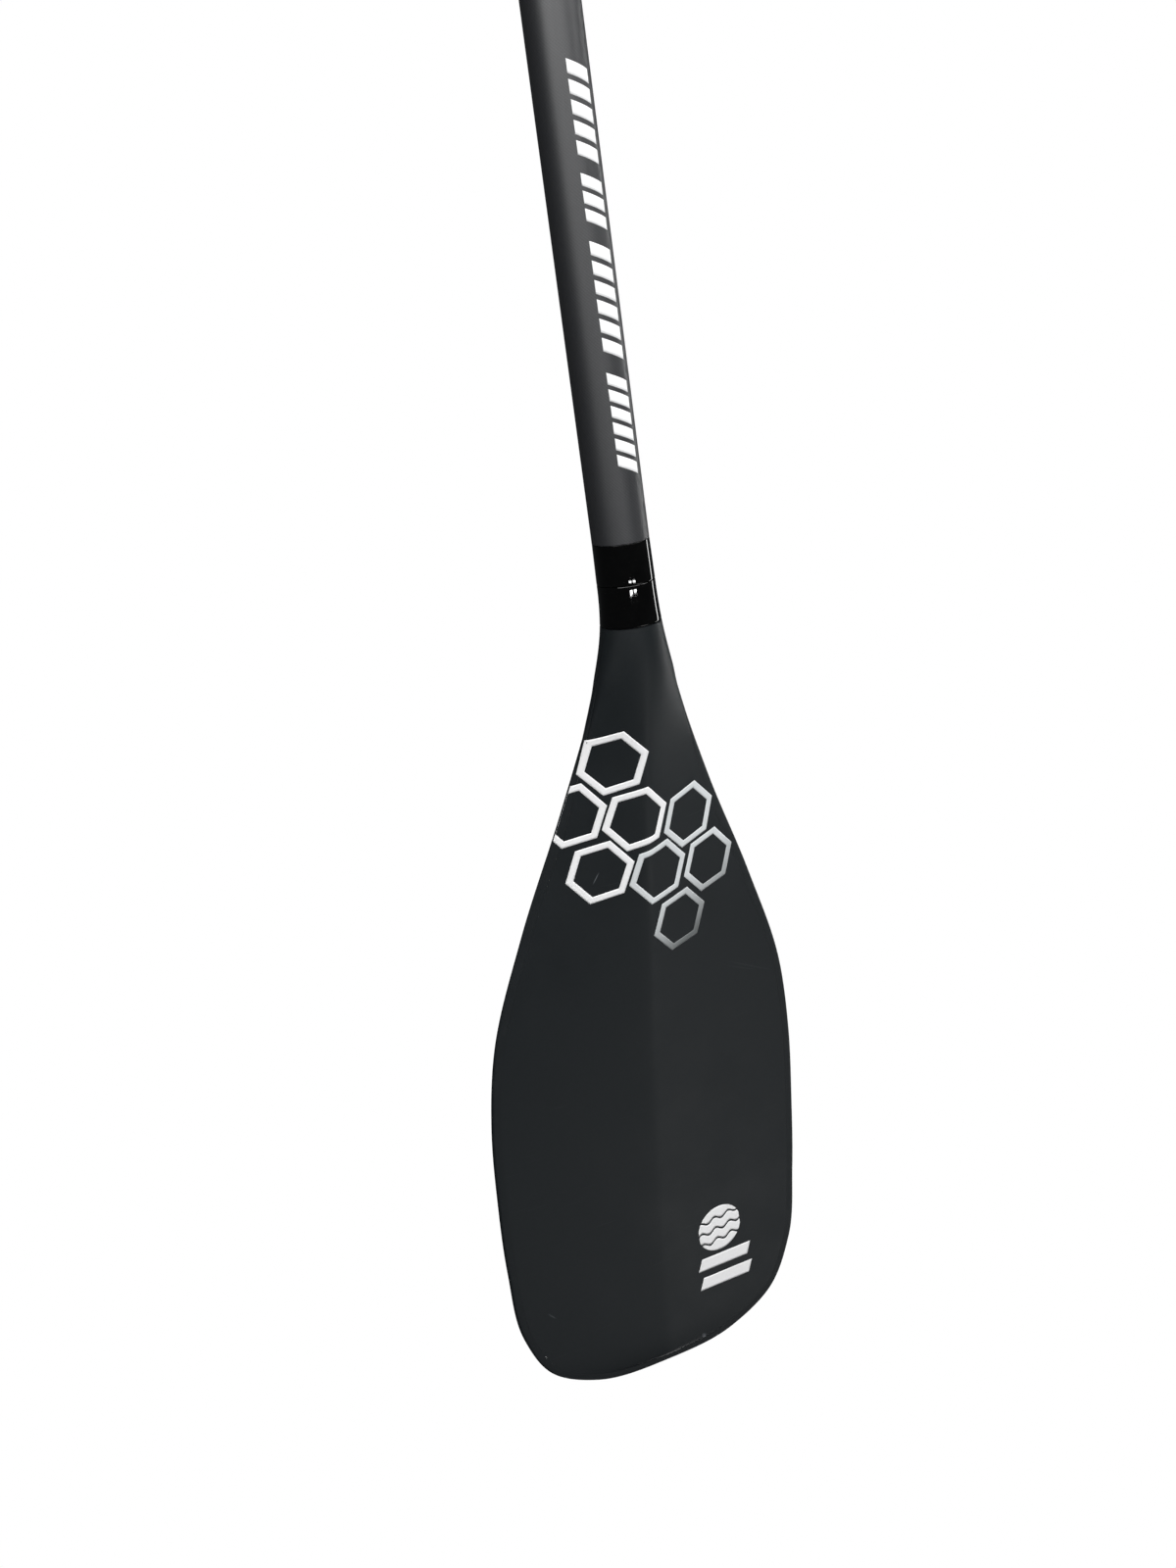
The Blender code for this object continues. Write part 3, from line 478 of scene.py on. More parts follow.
def lathe(name, profile, paint, steps=ROUND_STEPS, at=(0, 0, 0), turn=NO_TURN, closed=True):
    """Turns (radius, height) points about local Z. An open profile starts and ends on the axis."""
    rings = []
    for radius, height in profile:
        angles = turns(math.tau, steps)[:-1]
        rings.append([Vector((radius * math.cos(a), radius * math.sin(a), height)) for a in angles])
    if closed:
        rings.append(rings[0])
    bm = bmesh.new()
    add_grid(bm, rings, closed=True)
    merge(bm, MERGE_FINE)
    rotation = Matrix.Rotation(turn[1], 4, "Y") @ Matrix.Rotation(turn[0], 4, "X")
    bmesh.ops.transform(bm, matrix=Matrix.Translation(at) @ rotation, verts=bm.verts)
    return object_from(name, bm, paint)


def rod(name, radius, low, high, paint, steps=ROD_STEPS, at=(0, 0, 0), turn=NO_TURN):
    profile = [(0, high), (radius, high), (radius, low), (0, low)]
    return lathe(name, profile, paint, steps, at, turn, closed=False)


def tube_profile(outer, inner, low, high):
    return [(outer, high), (outer, low), (inner, low), (inner, high)]


def block(name, low, high, paint):
    bm = bmesh.new()
    bmesh.ops.create_cube(bm, size=1.0)
    middle = (Vector(low) + Vector(high)) / 2
    size = Vector(high) - Vector(low)
    for vert in bm.verts:
        vert.co = Vector((middle[n] + vert.co[n] * size[n] for n in range(3)))
    return object_from(name, bm, paint)


def plate(name, outline, low, high, paint):
    """A flat outline in XY between two heights."""
    bm = bmesh.new()
    lower = [bm.verts.new((x, y, low)) for x, y in outline]
    upper = [bm.verts.new((x, y, high)) for x, y in outline]
    bm.faces.new(lower)
    bm.faces.new(upper)
    for n in range(len(outline)):
        after = (n + 1) % len(outline)
        bm.faces.new((lower[n], lower[after], upper[after], upper[n]))
    return object_from(name, bm, paint)


def on_circle(radius, angle):
    return radius * math.cos(angle), radius * math.sin(angle)


def arc(radius, first, last, count):
    return [on_circle(radius, first + (last - first) * n / count) for n in range(count + 1)]


def smooth_step(value, low, high):
    share = min(max((value - low) / (high - low), 0.0), 1.0)
    return share * share * (3 - 2 * share)


def mix(one, two, share):
    return one + (two - one) * share


# ---- material helpers


def new_material(name, roughness, specular=0.5, metallic=0.0):
    made = bpy.data.materials.new(name)
    made.use_nodes = True
    shader = made.node_tree.nodes["Principled BSDF"]
    shader.inputs["Roughness"].default_value = roughness
    shader.inputs["Specular IOR Level"].default_value = specular
    shader.inputs["Metallic"].default_value = metallic
    return made, made.node_tree, shader


def add_node(tree, kind, values=None, **settings):
    """A node, with its settings, and its inputs' values or the sockets that feed them."""
    made = tree.nodes.new(kind)
    for name, value in settings.items():
        setattr(made, name, value)
    for name, value in (values or {}).items():
        if isinstance(value, bpy.types.NodeSocket):
            tree.links.new(value, made.inputs[name])
        else:
            made.inputs[name].default_value = value
    return made


def object_coordinates(tree):
    return add_node(tree, "ShaderNodeTexCoord").outputs["Object"]


def stretched(tree, vector, scale, turn=(0, 0, 0)):
    values = {"Vector": vector, "Scale": scale, "Rotation": turn}
    return add_node(tree, "ShaderNodeMapping", values).outputs["Vector"]


def noise(tree, vector, scale, detail=3.0, rough=0.5):
    values = {"Vector": vector, "Scale": scale, "Detail": detail, "Roughness": rough}
    return add_node(tree, "ShaderNodeTexNoise", values).outputs["Fac"]


def cells(tree, vector, scale, feature="F1"):
    values = {"Vector": vector, "Scale": scale}
    return add_node(tree, "ShaderNodeTexVoronoi", values, feature=feature).outputs["Distance"]


def math_node(tree, operation, one, two=0.0):
    return add_node(tree, "ShaderNodeMath", {0: one, 1: two}, operation=operation).outputs[0]


def remap(tree, value, low, high, to_low, to_high):
    values = {"Value": value, "From Min": low, "From Max": high, "To Min": to_low, "To Max": to_high}
    return add_node(tree, "ShaderNodeMapRange", values).outputs["Result"]


def blend_colours(tree, share, one, two, way="MIX"):
    made = add_node(tree, "ShaderNodeMix", data_type="RGBA", blend_type=way)
    factor, first, second = made.inputs[0], made.inputs[6], made.inputs[7]
    for socket, value in ((factor, share), (first, one), (second, two)):
        if isinstance(value, bpy.types.NodeSocket):
            tree.links.new(value, socket)
        elif socket is factor:
            socket.default_value = value
        else:
            socket.default_value = (*value, 1.0)
    return made.outputs[2]


def tint(tree, value, dark, light, low=0.3, high=0.7):
    """A colour that runs from dark, where the value is low, to light, where it is high."""
    return blend_colours(tree, remap(tree, value, low, high, 0, 1), dark, light)


def speckled(tree, colour, grain, amount):
    """The colour, darker and lighter by an amount with a fine grain."""
    speckle = remap(tree, grain, 0.3, 0.7, 1 - amount, 1 + amount)
    return blend_colours(tree, 1.0, colour, speckle, "MULTIPLY")


def feed(tree, shader, name, socket):
    tree.links.new(socket, shader.inputs[name])


def roughen(tree, shader, value, first, last, low=0.3, high=0.7):
    """Roughness that runs from first, where the value is low, to last, where it is high."""
    feed(tree, shader, "Roughness", remap(tree, value, low, high, first, last))


def bump(tree, shader, height, distance, strength):
    values = {"Height": height, "Distance": distance, "Strength": strength}
    feed(tree, shader, "Normal", add_node(tree, "ShaderNodeBump", values).outputs["Normal"])


def scuff_mask(tree, coordinates, at, turn, length, width):
    """1 along a short scratch near a point, and 0 away from it, seen along Y."""
    values = {
        "Vector": coordinates,
        "Location": at,
        "Rotation": (0, turn, 0),
        "Scale": (length / 2, 1.0, width / 2),
    }
    near = add_node(tree, "ShaderNodeMapping", values, vector_type="TEXTURE").outputs["Vector"]
    reach = add_node(tree, "ShaderNodeVectorMath", {0: near}, operation="LENGTH").outputs["Value"]
    return remap(tree, reach, 0.5, 1.0, 1.0, 0.0)


# ---- materials


def blade_matte():
    """Charcoal resin skin: faint cloudiness, a fine matt grain, hairline scratches and scuffs."""
    made, tree, shader = new_material("charcoal_blade_skin", 0.5, specular=0.28)
    place_on = object_coordinates(tree)
    clouds = noise(tree, place_on, 26.0, 5.0, 0.6)
    grain = noise(tree, place_on, 1500.0, 2.0)
    fibres = noise(tree, stretched(tree, place_on, (900.0, 900.0, 60.0)), 1.0)
    hairs = noise(tree, stretched(tree, place_on, (25.0, 25.0, 2400.0), (0, 0.35, 0)), 1.0, 1.0)
    scratch = remap(tree, hairs, 0.76, 0.82, 0.0, 0.12)
    for *scuff, strength in SCUFFS:
        mask = math_node(tree, "MULTIPLY", scuff_mask(tree, place_on, *scuff), strength)
        scratch = math_node(tree, "MAXIMUM", scratch, mask)
    colour = speckled(tree, tint(tree, clouds, BLADE_DARK, BLADE_LIGHT), grain, 0.10)
    feed(tree, shader, "Base Color", blend_colours(tree, scratch, colour, SCRATCH_COLOUR))
    roughen(tree, shader, clouds, 0.44, 0.54)
    height = math_node(tree, "ADD", math_node(tree, "MULTIPLY", fibres, 0.5), grain)
    bump(tree, shader, height, 0.00002, 0.5)
    return made


def edge_black():
    """The moulded edge strip: a coarser grain than the skin's, and light rubbing."""
    made, tree, shader = new_material("moulded_edge_strip", 0.55, specular=0.28)
    place_on = object_coordinates(tree)
    rubbing = noise(tree, place_on, 90.0, 6.0, 0.7)
    feed(tree, shader, "Base Color", tint(tree, rubbing, EDGE_DARK, EDGE_RUBBED, 0.5, 0.72))
    roughen(tree, shader, rubbing, 0.48, 0.62, 0.35, 0.7)
    bump(tree, shader, noise(tree, place_on, 2100.0, 2.0), 0.00004, 0.5)
    return made


def carbon():
    """Satin carbon tube: a fine twill under a thin matt lacquer."""
    made, tree, shader = new_material("satin_carbon", 0.38, specular=0.8)
    place_on = object_coordinates(tree)
    split = add_node(tree, "ShaderNodeSeparateXYZ", {"Vector": place_on})
    turn = math_node(tree, "ARCTAN2", split.outputs["Y"], split.outputs["X"])
    around = math_node(tree, "MULTIPLY", turn, TWILL_ROUND / math.tau)
    along = math_node(tree, "DIVIDE", split.outputs["Z"], TWILL_PITCH)
    rising = math_node(tree, "FRACT", math_node(tree, "ADD", around, along))
    falling = math_node(tree, "FRACT", math_node(tree, "SUBTRACT", around, along))
    warp = math_node(tree, "PINGPONG", rising, 0.5)
    weft = math_node(tree, "PINGPONG", falling, 0.5)
    twill = math_node(tree, "ADD", warp, math_node(tree, "MULTIPLY", weft, 0.35))
    grain = noise(tree, place_on, 1700.0)
    clouds = noise(tree, stretched(tree, place_on, (60.0, 60.0, 9.0)), 1.0, 4.0)
    colour = tint(tree, twill, CARBON_DARK, CARBON_LIGHT, 0.1, 0.6)
    feed(tree, shader, "Base Color", speckled(tree, colour, grain, 0.22))
    roughen(tree, shader, clouds, 0.41, 0.49)
    height = math_node(tree, "ADD", math_node(tree, "MULTIPLY", twill, 0.6), grain)
    bump(tree, shader, height, 0.00003, 0.4)
    return made


def gloss_black():
    """Deep gloss resin, with the slight unevenness of a poured coat, and a painted sheen on the
    crests of its waves.
    """
    made, tree, shader = new_material("gloss_black_resin", 0.05)
    place_on = object_coordinates(tree)
    waves = noise(tree, place_on, 160.0, 2.0)
    dust = remap(tree, noise(tree, place_on, 3000.0, 1.0), 0.74, 0.8, 0, 0.25)
    # painted sheen: the crests of the coat's waves are coloured a little lighter than its troughs
    colour = tint(tree, waves, GLOSS_DARK, GLOSS_PAINTED_SHEEN)
    feed(tree, shader, "Base Color", blend_colours(tree, dust, colour, DUST_COLOUR))
    roughen(tree, shader, waves, 0.02, 0.04)
    bump(tree, shader, waves, 0.00002, 0.15)
    return made


def white_ink():
    """Screen-printed ink: nearly white, with a fine uneven film."""
    made, tree, shader = new_material("white_ink", 0.5)
    film = noise(tree, object_coordinates(tree), 700.0, 4.0, 0.6)
    feed(tree, shader, "Base Color", tint(tree, film, INK_LIGHT, INK_WORN, 0.3, 0.75))
    roughen(tree, shader, film, 0.42, 0.56)
    bump(tree, shader, film, 0.00001, 0.4)
    return made


def silver_ink():
    """Screen-printed silver: it fades to a dark grey towards the last hexagon's right side."""
    made, tree, shader = new_material("silver_ink", 0.42)
    place_on = object_coordinates(tree)
    film = noise(tree, place_on, 700.0, 4.0, 0.6)
    values = {0: place_on, 1: SILVER_FADE_WAY}
    run = add_node(tree, "ShaderNodeVectorMath", values, operation="DOT_PRODUCT").outputs["Value"]
    start, end = (SEAM_Z * SILVER_FADE_WAY[2] + place for place in SILVER_FADE)
    feed(tree, shader, "Base Color", tint(tree, run, SILVER_LIGHT, SILVER_DARK, start, end))
    roughen(tree, shader, film, 0.36, 0.48)
    bump(tree, shader, film, 0.00001, 0.4)
    return made


def grained_plastic(name, dark, light, roughness, grain_scale):
    """Moulded plastic with a spark-eroded grain."""
    made, tree, shader = new_material(name, roughness)
    place_on = object_coordinates(tree)
    clouds = noise(tree, place_on, 70.0, 5.0, 0.6)
    feed(tree, shader, "Base Color", tint(tree, clouds, dark, light))
    roughen(tree, shader, clouds, roughness - 0.05, roughness + 0.06)
    bump(tree, shader, cells(tree, place_on, grain_scale, "SMOOTH_F1"), 0.00006, 0.5)
    return made


def steel():
    """Brushed stainless steel."""
    made, tree, shader = new_material("brushed_steel", 0.3, metallic=1.0)
    shader.inputs["Anisotropic"].default_value = 0.3
    place_on = object_coordinates(tree)
    lines = noise(tree, stretched(tree, place_on, (3000.0, 3000.0, 120.0)), 1.0)
    tarnish = noise(tree, place_on, 240.0, 4.0)
    feed(tree, shader, "Base Color", tint(tree, tarnish, STEEL_DARK, STEEL_LIGHT))
    roughen(tree, shader, lines, 0.22, 0.38)
    bump(tree, shader, lines, 0.00001, 0.4)
    return made


def foam():
    """Closed-cell foam, with painted shade in the hollow of each cell."""
    made, tree, shader = new_material("closed_cell_foam", 0.9)
    bubbles = cells(tree, object_coordinates(tree), 1100.0)
    # painted shade: each cell's hollow, where the bump is lowest, is coloured darker
    feed(tree, shader, "Base Color", tint(tree, bubbles, FOAM_PAINTED_PIT_SHADE, FOAM_LIGHT, 0.1))
    roughen(tree, shader, bubbles, 0.95, 0.8, 0.1)
    bump(tree, shader, bubbles, 0.0002, 0.7)
    return made


def rubber():
    """Matt rubber."""
    made, tree, shader = new_material("stopper_rubber", 0.8)
    place_on = object_coordinates(tree)
    bloom = noise(tree, place_on, 120.0, 5.0, 0.7)
    feed(tree, shader, "Base Color", tint(tree, bloom, RUBBER_DARK, RUBBER_BLOOM, 0.3, 0.75))
    roughen(tree, shader, bloom, 0.7, 0.88)
    bump(tree, shader, noise(tree, place_on, 1500.0), 0.00005, 0.5)
    return made


# ---- blade geometry


def curve_through(points, count):
    """Evenly spaced points on a smooth curve that passes through the points."""
    points = [Vector(point) for point in points]
    knots = [0.0]
    for one, two in zip(points, points[1:]):
        knots.append(knots[-1] + (two - one).length)
    slopes = [Vector((1, 0))]
    for n in range(1, len(points) - 1):
        before = (points[n] - points[n - 1]) / (knots[n] - knots[n - 1])
        after = (points[n + 1] - points[n]) / (knots[n + 1] - knots[n])
        share = (knots[n] - knots[n - 1]) / (knots[n + 1] - knots[n - 1])
        slopes.append(before.lerp(after, share))
    slopes.append(Vector((0, -1)))
    found = []
    for step in range(count + 1):
        length = knots[-1] * step / count
        n = max(k for k in range(len(points) - 1) if knots[k] <= length)
        span = knots[n + 1] - knots[n]
        t = (length - knots[n]) / span
        start = points[n] * (2 * t**3 - 3 * t**2 + 1) + slopes[n] * span * (t**3 - 2 * t**2 + t)
        end = points[n + 1] * (3 * t**2 - 2 * t**3) + slopes[n + 1] * span * (t**3 - t**2)
        found.append(start + end)
    return found


EDGE_LINE = curve_through(OUTLINE, FINE_STEPS)
EDGE_DISTANCES = [point[0] for point in EDGE_LINE]


def lean(s):
    """Angle of the blade's centre line to the shaft."""
    return BEND * smooth_step(s, BEND_START, BEND_END) - SCOOP * max(s - BEND_END, 0)


def centre_line(s):
    """Y and Z on the blade's centre line."""
    y = 0.0
    z = SEAM_Z
    for n in range(CENTRE_LINE_STEPS):
        angle = lean(s * (n + 0.5) / CENTRE_LINE_STEPS)
        y += math.sin(angle) * s / CENTRE_LINE_STEPS
        z -= math.cos(angle) * s / CENTRE_LINE_STEPS
    return y, z


def section_frame(s):
    """Turns (x, height towards the power face) at one distance into a point."""
    y, z = centre_line(s)
    across = math.cos(lean(s))
    down = math.sin(lean(s))
    return lambda x, height: Vector((x, y - across * height, z - down * height))


def flatness(s):
    """0 in the round neck and 1 in the flat blade."""
    return smooth_step(s, NECK_TOP, NECK_END)


def neck_depth(s):
    """Half of the neck's outer thickness: it tapers slightly under the sleeve, then grows."""
    taper = NECK_DEPTH_TAPER * min(s, NECK_TOP)
    return NECK_DEPTH - taper + NECK_DEPTH_GROWTH * max(0.0, s - NECK_TOP)


def neck_height(s, share):
    """Height of the neck's round skin over its middle plane, at a share of the half width."""
    return (neck_depth(s) - HALF_GAP) * math.sqrt(max(1 - share * share, 0))


def ridge_height(s, half_width):
    """Height of the power face's ridge over the blade's edges."""
    share = min(max((s - ROOF_START) / (BLADE_LENGTH - ROOF_START), 0.0), 1.0)
    slope = (
        ROOF_NECK * (1 - share) * (1 - 2 * share)
        + 4 * ROOF_MIDDLE * share * (1 - share)
        + ROOF_TIP * share * (2 * share - 1)
    )
    return math.tan(slope) * half_width


def front_height(s, share, half_width):
    """Height of the power face, at a share of the half width."""
    soft = RIDGE_ROUND / max(half_width, RIDGE_ROUND)
    fall = (math.hypot(share, soft) - soft) / (math.hypot(1, soft) - soft)
    roof = EDGE_HALF + ridge_height(s, half_width) * (1 - fall)
    return mix(neck_height(s, share), roof, flatness(s))


def back_height(s, share, half_width):
    """Depth of the back face below the blade's middle plane, at a share of the half width."""
    hollow = BACK_HOLLOW * ridge_height(s, half_width) * (1 - share * share)
    spine = SPINE_HEIGHT * (1 - smooth_step(s, NECK_TOP, SPINE_END))
    across = share * half_width / SPINE_HALF_WIDTH
    flat = EDGE_HALF - hollow + (spine + hollow * SPINE_FILL) * math.exp(-across * across)
    return mix(neck_height(s, share), flat, flatness(s))


def rail_width(s):
    return mix(RAIL_WIDTH_FIRST, RAIL_WIDTH, smooth_step(s, RAIL_START, RAIL_FULL))


def skin_margin(s):
    """How far the skins stay inside the outline, to leave room for the edge rail."""
    ramp = smooth_step(s, RAIL_START - RAIL_RAMP, RAIL_START)
    return ramp * (rail_width(s) + GAP * SEAM_SHARE)


def skin_lift(s):
    """How far each skin's edge stays off the blade's middle plane."""
    return mix(SKIN_JOIN, HALF_GAP, smooth_step(s, NECK_TOP, RAIL_START))


def outward_at(n):
    """Direction out of the blade at a point of its edge line."""
    last = len(EDGE_LINE) - 1
    if n == last:
        return Vector((1, 0))
    along = EDGE_LINE[n + 1] - EDGE_LINE[max(n - 1, 0)]
    return Vector((-along[1], along[0])).normalized()


def outline_rows(first_s):
    """Evenly spaced points down the blade's right edge, each with its outward direction."""
    first = bisect_left(EDGE_DISTANCES, first_s)
    last = len(EDGE_LINE) - 1
    places = [first + round((last - first) * n / BLADE_ROWS) for n in range(BLADE_ROWS + 1)]
    return [(EDGE_LINE[n], outward_at(n)) for n in places]


def drawn_in(rows):
    """The outline's rows, drawn in by the skins' margin: distance below the seam, half width."""
    found = []
    for point, outward in rows:
        inside = point - outward * skin_margin(point[0])
        found.append((inside[0], max(inside[1], 0.0)))
    return found


def column_shares():
    """Shares of the half width from one edge to the other, closer together at the ridge."""
    shares = []
    for n in range(BLADE_COLUMNS + 1):
        even = n / BLADE_COLUMNS
        angle = math.pi * even + RIDGE_CROWDING / 2 * math.sin(math.tau * even)
        shares.append(math.cos(angle))
    return shares


def face_ring(s, half_width, height_of, side):
    """One section through a skin: its outer side one way, and its inner side back."""
    flat = flatness(s)
    wall = mix(NECK_SKIN, SKIN, flat)
    top = height_of(s, 0.0, half_width)
    inner_width = max(half_width - wall, 0.0)
    lift = skin_lift(s)
    point = section_frame(s)
    outer = []
    inner = []
    for share in column_shares():
        height = height_of(s, share, half_width)
        thinner = wall * mix(height / top, 1.0, flat)
        outer.append(point(share * half_width, side * (lift + height)))
        inner.append(point(share * inner_width, side * (lift + height - thinner)))
    return outer + inner[::-1]


def rail_half(s):
    """Half of the rail's full thickness."""
    return EDGE_HALF * flatness(s) + HALF_GAP


def rail_rounding(s, radius):
    """A rounding's radius, held to a share of the rail's width."""
    return min(radius, rail_width(s) * RAIL_ROUND_MOST)


def rail_front(s, depth, across):
    """Height of the rail's front over the blade's middle plane, at a depth in from the outline.

    It carries on the power face's slope. across is 1 where the outline runs along the blade.
    """
    slope = flatness(s) * ridge_height(s, 1.0) / max(across, RAIL_ACROSS_LEAST)
    height = rail_half(s) - slope * (rail_width(s) - depth)
    near = 1 - min(depth / rail_rounding(s, RAIL_FRONT_ROUND), 1.0)
    return max(height, RAIL_LEAST * rail_half(s)) * math.sqrt(1 - near * near)


def rail_ring(point, outward, side):
    """One section through the edge rail: its front, from the inner wall outwards, then its back."""
    s = point[0]
    width = rail_width(s)
    front_round = rail_rounding(s, RAIL_FRONT_ROUND)
    back_round = rail_rounding(s, RAIL_BACK_ROUND)
    angles = turns(math.pi / 2, RAIL_SEGMENTS)
    depths = [width] + [front_round * (1 - math.cos(angle)) for angle in angles[::-1]]
    section = [(depth, rail_front(s, depth, outward[1])) for depth in depths]
    for angle in angles[1:]:
        section.append((back_round * (1 - math.cos(angle)), -rail_half(s) * math.sin(angle)))
    section.append((width, -rail_half(s)))
    ring = []
    for depth, height in section:
        spot = point - outward * (depth + EDGE_TRIM)
        ring.append(section_frame(spot[0])(side * max(spot[1], 0.0), height))
    return ring


def half_width_at(s):
    return EDGE_LINE[bisect_left(EDGE_DISTANCES, s)][1]


def on_power_face(s, x, lift):
    """A point just over the power face or, near the outline, just over the edge rail."""
    slope = abs(outward_at(bisect_left(EDGE_DISTANCES, s))[1])
    inward = (half_width_at(s) - abs(x)) * slope
    skin_width = half_width_at(s) - skin_margin(s) / slope
    if abs(x) <= skin_width:
        height = skin_lift(s) + front_height(s, x / skin_width, skin_width)
    else:
        height = rail_front(s, max(inward, 0.0), slope)
    return section_frame(s)(x, height + lift)


# ---- blade pieces


def blade_skin(name, height_of, side, paint):
    rows = drawn_in(outline_rows(NECK_TOP + HALF_GAP))
    rings = [face_ring(s, width, height_of, side) for s, width in rows]
    return loft(name, rings, paint, MERGE)


def blade_rail(paint):
    right = outline_rows(RAIL_START - RAIL_RAMP)
    rings = [rail_ring(point, outward, 1) for point, outward in right]
    rings += [rail_ring(point, outward, -1) for point, outward in right[-2::-1]]
    return loft("blade_edge_strip", rings, paint, MERGE, last_cap=True)


def rim(along, drop):
    """A rounded end: distances from the end, and how much smaller the piece is there."""
    angles = turns(math.pi / 2, RIM_STEPS)
    return [(along * (1 - math.cos(angle)), drop * (1 - math.sin(angle))) for angle in angles]


def neck_sleeve(paint):
    """Gloss sleeve at the neck: round at the seam, widening with the neck, with soft rims."""
    low, high = HALF_GAP, NECK_TOP - HALF_GAP
    stations = [(low + along, drop) for along, drop in rim(SEAM_RIM_ALONG, SEAM_RIM_DROP)]
    stations += [(mix(low, high, n / SLEEVE_STEPS), 0.0) for n in range(1, SLEEVE_STEPS)]
    stations += [(high - along, drop) for along, drop in rim(LOWER_RIM, LOWER_RIM)[::-1]]
    bore = FERRULE_RADIUS + GAP
    angles = turns(math.tau, ROUND_STEPS)[:-1]
    outer = []
    inner = []
    for s, drop in stations:
        point = section_frame(s)
        width = half_width_at(s) - drop
        depth = neck_depth(s) - drop
        ring = [point(width * math.cos(a), depth * math.sin(a)) for a in angles]
        outer.append(ring)
        heights = [corner.z for corner in ring]
        inner.append([(bore * math.cos(a), -bore * math.sin(a), z) for a, z in zip(angles, heights)])
    bm = bmesh.new()
    add_grid(bm, outer + inner[::-1] + outer[:1], closed=True)
    weld(bm, MERGE_FINE)
    return object_from("neck_gloss_sleeve", bm, paint)


def ink_film(name, bm, paint):
    """A flat print, given its thickness."""
    film = object_from(name, bm, paint)
    thicken(film, INK_THICKNESS)
    bake(film)
    return film


def print_on_blade(name, patches, paint):
    """A print from patches, each a grid of (x, s) points."""
    bm = bmesh.new()
    for patch in patches:
        add_grid(bm, [[on_power_face(s, x, INK_LIFT) for x, s in row] for row in patch])
    weld(bm, MERGE)
    place(ink_film(name, bm, paint), "root")


def hexagon_patches(centre_s, centre_x, outer_radius, line, lean_degrees):
    """Six strips between the outer and the inner hexagon."""
    inner_radius = outer_radius - line / math.cos(math.pi / 6)
    patches = []
    for side in range(6):
        corners = []
        for radius in (outer_radius, inner_radius):
            for corner in (side, side + 1):
                angle = math.radians(lean_degrees + 60 * corner)
                x = centre_x + radius * math.sin(angle)
                s = centre_s + radius * math.cos(angle)
                corners.append(Vector((x, s)))
        outer_a, outer_b, inner_a, inner_b = corners
        rows = []
        for n in range(HEX_LINE_STEPS + 1):
            a = outer_a.lerp(inner_a, n / HEX_LINE_STEPS)
            b = outer_b.lerp(inner_b, n / HEX_LINE_STEPS)
            rows.append([a.lerp(b, k / HEX_SIDE_STEPS) for k in range(HEX_SIDE_STEPS + 1)])
        patches.append(rows)
    return patches


def inside_outline(x, s):
    """The point itself or, where it is left of the blade, the outline's point beside it."""
    return max(x, PRINT_INSET - half_width_at(s)), s


def honeycomb(white, silver):
    for name, values in HEXAGONS.items():
        paint = silver if name in SILVER_HEXAGONS else white
        patches = hexagon_patches(*values)
        if name == "cut":
            patches = [[[inside_outline(x, s) for x, s in row] for row in rows] for rows in patches]
        print_on_blade(f"honeycomb_{name}", patches, paint)


def turned_place(place_at, along, down, turn):
    """A place in a mark's own turned frame, as (x, s) on the blade."""
    x, s = place_at
    return (
        x + along * math.cos(turn) - down * math.sin(turn),
        s + along * math.sin(turn) + down * math.cos(turn),
    )


def wave_mark(paint):
    """A plain disc, parted by three wavy lines."""
    patches = []
    for band in range(WAVE_BANDS):
        low = -MARK_RADIUS + 2 * MARK_RADIUS * band / WAVE_BANDS
        high = low + 2 * MARK_RADIUS / WAVE_BANDS
        columns = []
        for n in range(WAVE_COLUMNS + 1):
            x = -MARK_RADIUS + 2 * MARK_RADIUS * n / WAVE_COLUMNS
            reach = math.sqrt(max(MARK_RADIUS**2 - x * x, 0.0))
            wave = WAVE_HEIGHT * math.sin(WAVE_COUNT * math.pi * x / MARK_RADIUS)
            first = low + wave + WAVE_GAP / 2 if band > 0 else -reach
            last = high + wave - WAVE_GAP / 2 if band < WAVE_BANDS - 1 else reach
            first = min(max(first, -reach), reach)
            last = min(max(last, -reach), reach)
            if last - first < WAVE_LEAST:
                continue
            heights = [mix(first, last, k / WAVE_ROWS) for k in range(WAVE_ROWS + 1)]
            columns.append([turned_place((MARK_X, MARK_S), x, s, MARK_TURN) for s in heights])
        patches.append(columns)
    print_on_blade("wave_mark", patches, paint)


def mark_bars(paint):
    """Two plain slanted bars under the disc."""
    patches = []
    for s, x in BAR_PLACES:
        rows = []
        for n in range(BAR_ROWS + 1):
            down = (n / BAR_ROWS - 0.5) * BAR_HEIGHT
            row = []
            for k in range(BAR_COLUMNS + 1):
                along = (k / BAR_COLUMNS - 0.5) * BAR_LENGTH - down * BAR_SLANT
                row.append(turned_place((x, s), along, down, BAR_TURN))
            rows.append(row)
        patches.append(rows)
    print_on_blade("mark_bars", patches, paint)


# ---- shaft pieces


def shaft_tube(paint):
    """Main tube, necked down under the end band, with the hole for the button."""
    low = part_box("main_shaft")[0].z
    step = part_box("shaft_end_band")[1].z + GAP
    under = SHAFT_RADIUS - SHAFT_NECKING
    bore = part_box("shaft_plug")[1].x + GAP
    rings = [BUTTON_Z + HOLE_MARGIN, BUTTON_Z - HOLE_MARGIN]
    profile = [(SHAFT_RADIUS, z) for z in (SHAFT_TOP, *rings, step)]
    profile += [(under, step), (under, low), (bore, low)]
    profile += [(bore, z) for z in (*rings[::-1], SHAFT_TOP)]
    tube = lathe("shaft_tube", profile, paint)
    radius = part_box("snap_button")[1].x + HALF_GAP
    at = (0, 0, BUTTON_Z)
    cut(tube, rod("hole", radius, HOLE_INNER, HOLE_OUTER, paint, ROD_STEPS, at, Y_AXIS_TURN))
    soften(tube, 0.0002, 2)
    return tube


